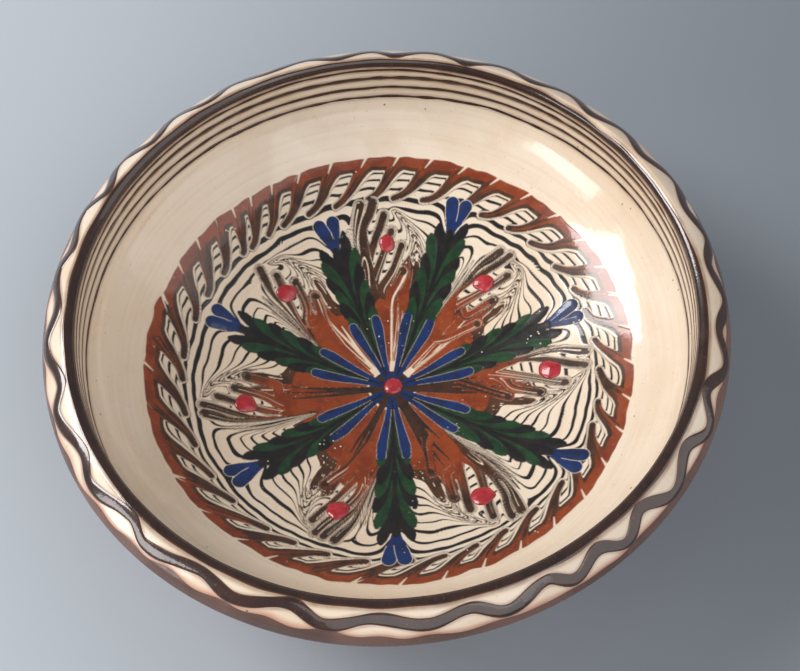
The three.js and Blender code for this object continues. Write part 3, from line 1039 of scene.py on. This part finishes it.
decor_piece("combed_border", [1], MAT_DECOR["border_slips"], ["combed_border"])
decor_piece("ringed_field", [0], MAT_DECOR["field_slips"], ["ringed_field"])
for i in range(7):
    decor_piece(f"petal_{i + 1}", [10 + i], MAT_DECOR["petal_slips"], [f"petal_{i + 1}"])
    decor_piece(f"plume_leaves_{i + 1}", [20 + i], MAT_DECOR["leaf_slips"], [f"plume_leaves_{i + 1}"])
    decor_piece(f"plume_tip_{i + 1}", [30 + i], MAT_DECOR["blue_slips"], [f"plume_tip_{i + 1}"])
    decor_piece(f"plume_root_{i + 1}_left", [40 + i], MAT_DECOR["blue_slips"], [f"plume_root_{i + 1}_left"])
    decor_piece(f"plume_root_{i + 1}_right", [50 + i], MAT_DECOR["blue_slips"], [f"plume_root_{i + 1}_right"])

# ------------------------------------------------------------------ ribbons laid on the wall and lip
def tab(T, th):
    """A closed table of (degrees, value), read smoothly at angles th."""
    a = np.array(T, float)
    d = a[:, 0] % 360
    o = np.argsort(d)
    d, v = d[o], a[o, 1]
    d = np.r_[d[-2:] - 360, d, d[:2] + 360]
    v = np.r_[v[-2:], v, v[:2]]
    q = np.degrees(th) % 360
    i = np.clip(np.searchsorted(d, q) - 1, 0, len(d) - 2)
    t = (q - d[i]) / (d[i + 1] - d[i])
    t = t * t * (3 - 2 * t)
    return v[i] * (1 - t) + v[i + 1] * t


NT = 2400
TH = np.arange(NT) / NT * 2 * np.pi

BAND_OUT = [(90, 145.3), (60, 145.3), (40, 144.5), (25, 144.8), (0, 146.4), (-22, 147.0), (-45, 147.2), (-90, 146.7),
            (-115, 146.4), (-140, 146.6), (-170, 146.8), (-185, 146.7), (-230, 145.9), (-250, 145.4)]
BAND_IN = [(90, 141.3), (60, 141.2), (30, 141.0), (0, 141.0), (-30, 141.4), (-90, 141.2), (-150, 141.4), (-200, 140.9),
           (-215, 140.8), (-240, 141.1)]
LINE_S = [[(90, 139.75), (60, 139.7), (30, 139.5), (0, 139.4), (-90, 139.6), (-180, 139.4), (-240, 139.7)],
          [(90, 135.1), (60, 135.7), (30, 136.0), (0, 135.7), (-60, 135.4), (-160, 135.3), (-240, 135.0), (-267, 134.7)],
          [(90, 129.4), (60, 130.2), (30, 130.9), (0, 130.4), (-60, 129.8), (-160, 129.6), (-240, 129.3), (-267, 129.1)],
          [(90, 124.7), (60, 125.6), (20, 126.2), (-20, 125.4), (-60, 125.0), (-160, 125.0), (-240, 124.7), (-267, 124.5)]]
LINE_W = [0.72, 1.15, 0.88, 0.66]
WAVE_IN = [(86.7, 147.43), (72.3, 147.46), (58.7, 148.97), (44.9, 148.44), (32.0, 149.34), (17.9, 150.88), (5.4, 150.41),
           (-7.8, 150.97), (-20.2, 148.75), (-31.8, 149.49), (-45.6, 148.81), (-55.6, 149.63), (-65.3, 149.64),
           (-78.3, 149.55), (-93.1, 149.45), (-106.6, 147.94), (-122.0, 148.63), (-137.3, 148.2), (-152.1, 148.97),
           (-166.2, 148.73), (-181.4, 149.8), (-194.2, 150.58), (-207.3, 148.33), (-221.1, 148.26), (-234.9, 148.57),
           (-248.4, 150.6), (-262.2, 147.9)]
WAVE_OUT = [(79.5, 153.39), (65.4, 153.82), (51.8, 154.36), (38.3, 153.96), (24.9, 155.73), (11.7, 154.95), (-1.3, 155.38),
            (-13.8, 155.42), (-26.1, 154.84), (-38.9, 154.85), (-50.7, 154.26), (-60.9, 153.97), (-72.5, 153.97),
            (-85.0, 152.37), (-100.8, 152.57), (-115.6, 151.96), (-132.5, 152.25), (-146.8, 152.74), (-161.4, 153.73),
            (-175.0, 154.8), (-189.7, 154.56), (-202.4, 155.73), (-215.2, 155.9), (-228.8, 154.36), (-241.7, 154.28),
            (-255.8, 153.39), (-268.8, 152.59)]


def ribbon(name, sc, hw, high, mat, sink=0.18, across=10, steep=True, taper=None):
    """A trailed line of slip on the face: sc its middle along the section, hw its half width, both by angle."""
    R = np.interp(sc, FS, FACE[:, 0])
    dx = R * (2 * np.pi / NT)
    ds = (np.roll(sc, -1) - np.roll(sc, 1)) / 2
    l = np.hypot(dx, ds)
    nx, ns = -ds / l, dx / l
    q = np.cos(np.linspace(np.pi, 0, across))                # across the top, edge to edge
    prof = np.maximum(0, 1 - np.abs(q) ** 3.2) ** 0.55
    S = sc[:, None] + q[None, :] * (hw * ns)[:, None]
    T = TH[:, None] + q[None, :] * (hw * nx / R)[:, None]
    H = -sink + (np.broadcast_to(high, sc.shape)[:, None] + sink) * prof[None, :]
    top = face_point(S, T, H)
    qb = q[::-1][1:-1]
    Sb = sc[:, None] + qb[None, :] * (hw * 0.98 * ns)[:, None]
    Tb = TH[:, None] + qb[None, :] * (hw * 0.98 * nx / R)[:, None]
    bot = face_point(Sb, Tb, np.full(Sb.shape, -sink - 0.12))
    V = np.concatenate([top, bot], 1)
    nv = V.shape[1]
    F = tube_grid(NT, nv)
    V = V.reshape(-1, 3)
    # outward faces: the top looks along the face's normal
    a = V[F[nv * 10 + across // 2]]
    if np.dot(np.cross(a[1] - a[0], a[2] - a[0]), face_point(sc[10:11], TH[10:11], 1.0)[0] - face_point(sc[10:11], TH[10:11])[0]) < 0:
        F = F[:, ::-1]
    edge = np.concatenate([np.abs(q), np.ones(len(qb))])
    e = np.broadcast_to(sm(edge, 0.72, 1.0)[None, :], (NT, nv)).reshape(-1)
    attrs = {"ink": np.stack([e, e * 0, e * 0], -1)}
    k = 16                                                    # the band is cut into strips that are stacked in the UV square
    i = np.arange(NT)
    u = (i % (NT // k)) / (NT // k) * 0.96 + 0.02
    strip = i // (NT // k)
    v = (strip[:, None] + (np.arange(nv) / (nv - 1))[None, :] * 0.86 + 0.07) / k
    uv = np.stack([np.broadcast_to(u[:, None], (NT, nv)), v], -1).reshape(-1, 2)
    return make(name, V, F, np.zeros((0, 3), int), mat, [name], None, None, attrs), uv, F


def strip_uv(o, uvfun):
    """Bake layout worked out corner by corner, so that a strip's end doesn't run back to its start."""
    me = o.data
    n = len(me.loops)
    vi = np.zeros(n, np.int32)
    me.loops.foreach_get("vertex_index", vi)
    ls = np.zeros(len(me.polygons), np.int32)
    me.polygons.foreach_get("loop_start", ls)
    lt = np.zeros(len(me.polygons), np.int32)
    me.polygons.foreach_get("loop_total", lt)
    face = np.repeat(np.arange(len(ls)), lt)
    l = me.uv_layers.get("OFBake") or me.uv_layers.new(name="OFBake")
    l.data.foreach_set("uv", uvfun(vi, face, ls, lt).astype(np.float32).ravel())


def band_uv(NTv, nv, k):
    """UV for a band of NTv stations of nv points: k stacked strips."""
    per = NTv // k

    def f(vi, face, ls, lt):
        st = vi // nv
        j = vi % nv
        first = st[ls]                                        # each face's own lowest station decides its strip
        allst = st
        fmin = np.full(len(ls), 10 ** 9)
        np.minimum.at(fmin, face, allst)
        fmax = np.zeros(len(ls), int)
        np.maximum.at(fmax, face, allst)
        wrap = (fmax - fmin) > NTv // 2
        base = np.where(wrap, NTv - 1, fmin)
        bs = base[face]
        sst = np.where((wrap[face]) & (st < NTv // 2), st + NTv, st)
        strip = np.minimum(bs // per, k - 1)
        u = (sst - strip * per) / max(per, NTv - (k - 1) * per) * 0.96 + 0.02
        jmin = np.full(len(ls), 10 ** 9)
        np.minimum.at(jmin, face, j)
        jmax = np.zeros(len(ls), int)
        np.maximum.at(jmax, face, j)
        jw = ((jmax - jmin) > nv // 2)[face]
        jj = np.where(jw & (j < nv // 2), j + nv, j)
        v = (strip + jj / nv * 0.9 + 0.05) / k
        return np.stack([u, v], -1)
    return f


def wobble(seed, a, lo=3, hi=40):
    return a * around(TH, seed, 14, lo, hi)


b_in = tab(BAND_IN, TH) + wobble(21, 0.10)
b_out = tab(BAND_OUT, TH) + wobble(22, 0.12)
o, _, _ = ribbon("rim_band", (b_in + b_out) / 2, (b_out - b_in) / 2, 0.20 + wobble(23, 0.02), MAT_DARK,
                 across=22)
strip_uv(o, band_uv(NT, 22 + 20, 16))
for i in range(4):
    sc = tab(LINE_S[i], TH) + wobble(30 + i, 0.10)
    hw = LINE_W[i] * (1 + wobble(40 + i, 0.13, 5, 90))
    o, _, _ = ribbon(f"wall_line_{i + 1}", sc, hw, 0.10 + 0.06 * LINE_W[i], MAT_DARK, sink=0.12, across=9)
    strip_uv(o, band_uv(NT, 9 + 7, 16))


def wave_path():
    P = np.array(sorted([(a % 360, s, 0) for a, s in WAVE_IN] + [(a % 360, s, 1) for a, s in WAVE_OUT]))
    d = np.r_[P[-1:, 0] - 360, P[:, 0], P[:1, 0] + 360]
    v = np.r_[P[-1:, 1], P[:, 1], P[:1, 1]]
    q = np.degrees(TH) % 360
    i = np.clip(np.searchsorted(d, q, "right") - 1, 0, len(d) - 2)
    t = (q - d[i]) / (d[i + 1] - d[i])
    t = 0.5 - 0.5 * np.cos(np.pi * t)
    return v[i] * (1 - t) + v[i + 1] * t


wv = wave_path()
hw = 2.25 + wobble(51, 0.16, 10, 60)
o, _, _ = ribbon("lip_wave_line", wv, hw, 0.26 + wobble(52, 0.04, 8, 50), MAT_WAVE, sink=0.2, across=18)
strip_uv(o, band_uv(NT, 18 + 16, 16))

# ------------------------------------------------------------------ cream slip over the wall and lip
NC = 1024
rows_s = np.r_[np.arange(S_BORDER, 118, 0.5), np.arange(118, 157.2, 0.3)]
edge_s = S_COAT + 0.55 * around(TH[:1], 60) * 0
ring_n = [NMAX, NMAX // 2 if NMAX > NC else NMAX] + [NC] * (len(rows_s) - 2)
cs, ct, st_, tt = [], [], [], 0
for k, s in enumerate(rows_s):
    n = NMAX if k == 0 else NC
    if k == 0:
        n = counts[-1]
    cs.append(np.full(n, s))
    ct.append(np.arange(n) / n * 2 * np.pi)
    st_.append(tt)
    tt += n
cn = [len(a) for a in cs]
cs = np.concatenate(cs)
ct = np.concatenate(ct)
last = rows_s[-1]
edge = 155.9 + 0.45 * around(ct, 61, 16, 3, 60) + 0.5 * around(ct, 62, 6, 1, 6)
# rows past 150 are squeezed or stretched so that the last one follows the slip's ragged edge
k = np.clip((cs - 150) / (last - 150), 0, 1)
cs2 = np.where(cs > 150, 150 + (edge - 150) * k, cs)
near = np.clip((edge - cs2) / 0.9, 0, 1)
hh = -0.5 * (1 - near ** 0.5)
CV = face_point(cs2, ct, hh)
C4, C3 = rings(cn, st_)
C4 = upward(CV, C4)
C3 = upward(CV, C3) if len(C3) else C3


def near_line(s, c, w, soft):
    return np.exp(-np.maximum(np.abs(s - c) - w, 0) ** 2 / (soft ** 2))


def at(v, th):
    """A per station table read at angles th."""
    i = (th / (2 * np.pi) * NT) % NT
    a = i.astype(int)
    f = i - a
    return v[a % NT] * (1 - f) + v[(a + 1) % NT] * f


halo = np.zeros(len(cs2))
bi, bo = at(b_in, ct), at(b_out, ct)
halo = np.maximum(halo, 0.8 * near_line(cs2, (bi + bo) / 2, (bo - bi) / 2, 0.9))
for i in range(4):
    c = at(tab(LINE_S[i], TH), ct)
    halo = np.maximum(halo, (0.60 if i < 2 else 0.45) * near_line(cs2, c, LINE_W[i], 0.7))
# the wave's halo is measured across its line, so its slope counts
wc = at(wv, ct)
slope = at(np.gradient(wv, 120 * 2 * np.pi / NT), ct)
halo = np.maximum(halo, 0.55 * near_line(cs2, wc, 2.2 * np.sqrt(1 + slope ** 2), 0.6))
pink = (1 - sm(edge - cs2, 0.1, 3.2)) * 0.9
pink = np.maximum(pink, 0.22 * sm(cs2, 150.5, 153.5) * np.clip(around(ct, 63, 8, 2, 12), 0, 1))
# the coat meets the painted middle in plain cream
coat_ink = np.stack([halo, np.zeros(len(cs2)), pink], -1)
o = make("cream_slip_coat", CV, C4, C3, MAT_COAT, ["cream_slip_coat"], None, None, {"ink": coat_ink})


def coat_uv(vi, face, ls, lt):
    """The coat lies in the UV square as eight bands of rows, each band a full turn."""
    row = np.searchsorted(np.array(st_), vi, "right") - 1
    th = ct[vi] / (2 * np.pi)
    fmin = np.full(len(ls), 9.0)
    np.minimum.at(fmin, face, th)
    fmax = np.zeros(len(ls))
    np.maximum.at(fmax, face, th)
    wrap = ((fmax - fmin) > 0.5)[face]
    th = np.where(wrap & (th < 0.5), th + 1, th)
    lo = np.where((fmax - fmin) > 0.5, fmax, fmin)[face]
    k = 8
    strip = np.minimum((lo * k).astype(int), k - 1)
    L = rows_s[-1] - rows_s[0]
    u = (rows_s[row] - rows_s[0]) / L * 0.96 + 0.02
    v = (strip + (th * k - strip) * 0.97 + 0.01) / k
    return np.stack([u, v], -1)


strip_uv(o, coat_uv)

# ------------------------------------------------------------------ the clay body
def body_section():
    """(r, z) round the whole section, from the middle of the top, over the lip, to the middle below, as two runs: the
    top and the underside.
    """
    s = np.r_[0.0, np.arange(4, 150, 2.0), np.arange(150, FS[-1], 0.35)]
    r = np.interp(s, FS, FACE[:, 0])
    z = np.interp(s, FS, FACE[:, 1])
    tx = np.interp(s, FS, FT[:, 0])
    tz = np.interp(s, FS, FT[:, 1])
    l = np.hypot(tx, tz)
    d = 0.75 - 0.40 * sm(s, 150, 156)
    top = np.stack([r + tz / l * d, z - tx / l * d], -1)
    top[0, 0] = 0
    OUT = np.array([[124.3, 63.9], [122.4, 62.6], [120.4, 61.2], [119.6, 57], [117.4, 49], [110.5, 38.4], [101, 30.4],
                    [82, 20.2], [62, 12.4], [53.2, 9.0], [51.7, 7.6], [51.2, 4.5], [51.0, 1.3], [50.2, 0.25], [48.6, 0.0],
                    [46.6, 0.0], [45.2, 0.3], [44.5, 1.3], [43.9, 4.5], [42.6, 6.8], [38.5, 7.9], [30, 7.2], [20, 6.2],
                    [8, 5.4], [0, 5.2]], float)
    low = centripetal(np.vstack([top[-1], OUT]), 14)[1:]
    S2 = np.r_[0, np.cumsum(np.hypot(*np.diff(low, axis=0).T))]
    q = np.arange(0, S2[-1], 0.8)
    low = np.stack([np.interp(q, S2, low[:, 0]), np.interp(q, S2, low[:, 1])], -1)
    low = np.vstack([low, [[0.0, 5.2]]])
    # turning ridges on the outside
    g = np.random.default_rng(5)
    n = np.convolve(g.normal(0, 1, len(low) + 20), np.hanning(5) / np.hanning(5).sum(), "same")[10:-10]
    t = np.gradient(low, axis=0)
    t /= np.maximum(np.linalg.norm(t, axis=1, keepdims=True), 1e-9)
    nn = np.stack([t[:, 1], -t[:, 0]], -1)
    amt = 0.10 * sm(q_len(low), 4, 14) * np.where((low[:, 0] < 52) & (low[:, 0] > 43), 0.0, 1.0)
    amt[-3:] = 0
    low = low - nn * (n * amt)[:, None]
    return top, low


def q_len(P):
    return np.r_[0, np.cumsum(np.hypot(*np.diff(P, axis=0).T))]


top, low = body_section()
sec = np.vstack([top, low[1:]])
ql = q_len(low)
glz = np.r_[np.ones(len(top)), (1 - sm(ql, 30, 46))[1:]]
NB = 512
mid = sec[1:-1]
cnt = [1] + [NB] * len(mid) + [1]
st2 = np.r_[0, 1 + np.arange(len(mid)) * NB, 1 + len(mid) * NB]
thb = np.arange(NB) / NB * 2 * np.pi
R = mid[:, 0][:, None] + 0 * thb
Z = mid[:, 1][:, None] + 0 * thb
w = sm(R, 60, 118)
R = R + w * (0.22 * np.sin(2 * thb + 0.6) + 0.14 * np.sin(3 * thb + 2.1))
Z = Z + w * sm(Z, 1, 12) * (0.20 * np.sin(2 * thb + 1.9) + 0.12 * np.sin(5 * thb + 0.4))
BV = np.vstack([[[0, 0, sec[0, 1]]], np.stack([R * np.cos(thb), R * np.sin(thb), Z], -1).reshape(-1, 3), [[0, 0, sec[-1, 1]]]])
j = np.arange(NB)
j1 = (j + 1) % NB
f3 = np.stack([np.full(NB, 0), 1 + j, 1 + j1], -1)
lastr = 1 + (len(mid) - 1) * NB
f3b = np.stack([np.full(NB, len(BV) - 1), lastr + j1, lastr + j], -1)
i = np.arange(len(mid) - 1)[:, None] * NB + 1
f4 = np.stack([i + j, i + NB + j, i + NB + j1, i + j1], -1).reshape(-1, 4)
gl = np.r_[1.0, np.repeat(glz[1:-1], NB), 0.0]
# the glaze's edge below is uneven: it runs a little in places
gl = np.clip(gl, 0, 1)
wavy = np.r_[0, np.tile(around(thb, 71, 10, 3, 24) * 0.25, len(mid)), 0]
gl = sm(gl + wavy * (gl > 0.02) * (gl < 0.98), 0.3, 0.7)
o = make("clay_body", BV, f4, np.vstack([f3, f3b]), MAT_CLAY, ["clay_body"], None, None,
         {"ink": np.stack([gl, gl * 0, gl * 0], -1)})


def body_uv(vi, face, ls, lt):
    rowi = np.clip((vi - 1) // NB + 1, 0, len(sec) - 1)
    rowi = np.where(vi == 0, 0, np.where(vi == len(BV) - 1, len(sec) - 1, rowi))
    th = np.where((vi == 0) | (vi == len(BV) - 1), -1.0, ((vi - 1) % NB) / NB)
    fmax = np.full(len(ls), -1.0)
    np.maximum.at(fmax, face, th)
    fmin = np.full(len(ls), 9.0)
    np.minimum.at(fmin, face, np.where(th < 0, 9.0, th))
    wrap = (fmax - fmin) > 0.5
    lo = np.where(wrap, fmax, fmin)[face]
    th = np.where(th < 0, lo, th)
    th = np.where(wrap[face] & (th < 0.5), th + 1, th)
    k = 8
    strip = np.minimum((lo * k).astype(int), k - 1)
    L = q_len(sec)
    v = (strip + (th * k - strip) * 0.97 + 0.01) / k
    u = L[rowi] / L[-1] * 0.98 + 0.01
    return np.stack([u, v], -1)


strip_uv(o, body_uv)


# ------------------------------------------------------------------ dots of thick red slip
def ground(X, Y):
    """Height of the painted face under a plan point."""
    r = np.hypot(X, Y)
    s = np.interp(r, FACE[:400, 0], FS[:400])
    return face_point(s, np.arctan2(Y, X))


def dot(name, cx, cy, rx, ry, turn, high, seed, peak=0.0):
    g = np.random.default_rng(seed)
    nr, na = 22, 72
    th = np.arange(na) / na * 2 * np.pi
    out = np.ones(na)
    for kk in range(2, 7):
        out += g.normal(0, 0.075 / kk ** 0.9) * np.sin(kk * th + g.uniform(0, 6.28))
    V, e = [], []
    q = np.sin(np.linspace(0, np.pi / 2, nr + 1))[1:]
    base = ground(np.array([cx]), np.array([cy]))[0]
    px, py = g.uniform(-0.5, 0.5, 2)

    def pts(qq, zoff):
        dx = qq * rx * out * np.cos(th)
        dy = qq * ry * out * np.sin(th)
        X = cx + dx * math.cos(turn) - dy * math.sin(turn)
        Y = cy + dx * math.sin(turn) + dy * math.cos(turn)
        P = ground(X, Y)
        P[:, 2] += zoff
        return P
    V.append(base + [0, 0, high + peak])
    e.append(0.0)
    for qq in q:
        dome = (1 - qq ** 2.6) ** 0.62
        un = 0.05 * np.sin(3 * th + seed) * qq * (1 - qq)
        P = pts(qq, -0.15 + (high + 0.15) * (dome + un) + peak * math.exp(-(qq / 0.25) ** 2))
        V += list(P)
        e += [float(qq)] * na
    P = pts(0.98, -0.35)
    V += list(P)
    e += [1.0] * na
    V.append(base + [0, 0, -0.35])
    e.append(1.0)
    V = np.array(V)
    j = np.arange(na)
    j1 = (j + 1) % na
    F3 = [np.stack([np.full(na, 0), 1 + j, 1 + j1], -1)]
    F4 = []
    for k in range(nr):
        a = 1 + k * na
        F4.append(np.stack([a + j, a + na + j, a + na + j1, a + j1], -1))
    a = 1 + nr * na
    F3.append(np.stack([np.full(na, len(V) - 1), a + j1, a + j], -1))
    e = np.array(e)
    uv = V[:, :2] - V[:, :2].min(0)
    uv = uv / uv.max() * 0.96 + 0.02
    under = np.r_[np.zeros(1 + nr * na), np.ones(na + 1)]
    return make(name, V, np.vstack(F4), np.vstack(F3), MAT_RED, [name], uv, None,
                {"ink": np.stack([sm(e, 0.86, 1.0) * 0.6, e * 0, e * 0], -1)})


DOTS = [(1.1, 60.7), (40.2, 40.1), (63.4, -2.5), (33.7, -55.5), (-20.6, -58.6), (-56.3, -11.5), (-40.7, 39.0)]
DOT_SHAPE = [(3.3, 3.8, 0.2), (4.1, 3.9, 0.5), (4.3, 4.3, 0.0), (4.8, 4.2, 0.1), (4.6, 4.0, 0.4), (4.4, 4.2, -0.6), (4.2, 3.9, 0.7)]
for i, ((dx_, dy_), (rx_, ry_, tn)) in enumerate(zip(DOTS, DOT_SHAPE)):
    dot(f"dot_{i + 1}", dx_, dy_, rx_, ry_, tn, 1.15 + 0.1 * ((i * 7) % 3), 200 + i, 0.25 if i in (2, 4) else 0.1)
dot("centre_dot", 1.6, -1.6, 3.7, 3.9, 0.3, 1.35, 210, 0.2)

# ------------------------------------------------------------------ floor, light and camera
def floor():
    me = bpy.data.meshes.new("floor")
    n = 40
    L = 3.0
    v = [((i / n - .5) * 2 * L, (j / n - .5) * 2 * L, -0.00005) for j in range(n + 1) for i in range(n + 1)]
    f = [(j * (n + 1) + i, j * (n + 1) + i + 1, (j + 1) * (n + 1) + i + 1, (j + 1) * (n + 1) + i) for j in range(n) for i in range(n)]
    me.from_pydata(v, [], f)
    o = bpy.data.objects.new("floor", me)
    bpy.context.scene.collection.objects.link(o)
    N = Net("floor_with_painted_shade")
    s = N.new("ShaderNodeSeparateXYZ")
    N.put(s.inputs[0], N.pos)
    # painted shade: the floor is darker towards +X, the side away from the key light
    c = N.mix(N.ramp(s.outputs[0], -0.22, 0.24), col(188, 196, 205), col(130, 137, 146))
    c = N.mix(N.ramp(N.noise(1.6, 2), 0.3, 0.7, 0.0, 0.12), c, col(140, 148, 159))
    me.materials.append(N.finish(c, 0.6, N.noise(500, 2), 0.0001, 0.1))


floor()


def area(name, loc_, target, size, power, color=(1, 1, 1), size_y=None):
    l = bpy.data.lights.new(name, "AREA")
    l.shape = "RECTANGLE" if size_y else "SQUARE"
    l.size = size
    if size_y:
        l.size_y = size_y
    l.energy = power
    l.color = color
    o = bpy.data.objects.new(name, l)
    o.location = loc_
    d = Vector(target) - Vector(loc_)
    o.rotation_euler = d.to_track_quat("-Z", "Y").to_euler()
    bpy.context.scene.collection.objects.link(o)
    return o


CAM = Vector((5.07, -266.7, 506.7)) * MM
el = math.radians(59.74)
fwd = Vector((0, math.cos(el), -math.sin(el)))
right0 = Vector((1, 0, 0))
up0 = right0.cross(fwd)
ro = math.radians(-2.19)
right = right0 * math.cos(ro) + up0 * math.sin(ro)
up = up0 * math.cos(ro) - right0 * math.sin(ro)
cam = bpy.data.cameras.new("camera")
cam.lens = 63
cam.sensor_width = 36
cam.clip_start = 0.01
cam.clip_end = 50
co = bpy.data.objects.new("camera", cam)
M = Matrix.Identity(4)
for c_, v_ in enumerate((right, up, -fwd)):
    for r_ in range(3):
        M[r_][c_] = v_[r_]
for r_ in range(3):
    M[r_][3] = CAM[r_]
co.matrix_world = M
bpy.context.scene.collection.objects.link(co)
bpy.context.scene.camera = co

w_ = bpy.data.worlds.new("room")
w_.use_nodes = True
bg = w_.node_tree.nodes["Background"]
bg.inputs[0].default_value = (0.92, 0.95, 1.0, 1)
bg.inputs[1].default_value = 0.25
bpy.context.scene.world = w_
bpy.context.scene.view_settings.view_transform = "Standard"
area("key", (-1.92, 0.62, 1.67), (0, 0, 0.03), 1.3, 51, (1.0, 0.975, 0.95))
area("window", (-1.19, -0.52, 0.60), (0.075, 0.078, 0.048), 0.62, 4.0, (1.0, 0.99, 0.97), 0.42)
area("fill", (0.3, -1.6, 1.6), (0, 0, 0.03), 1.9, 12, (1.0, 0.98, 0.96))
area("side", (1.7, -0.7, 1.5), (-0.06, 0, 0.03), 2.6, 18, (1.0, 0.98, 0.96))
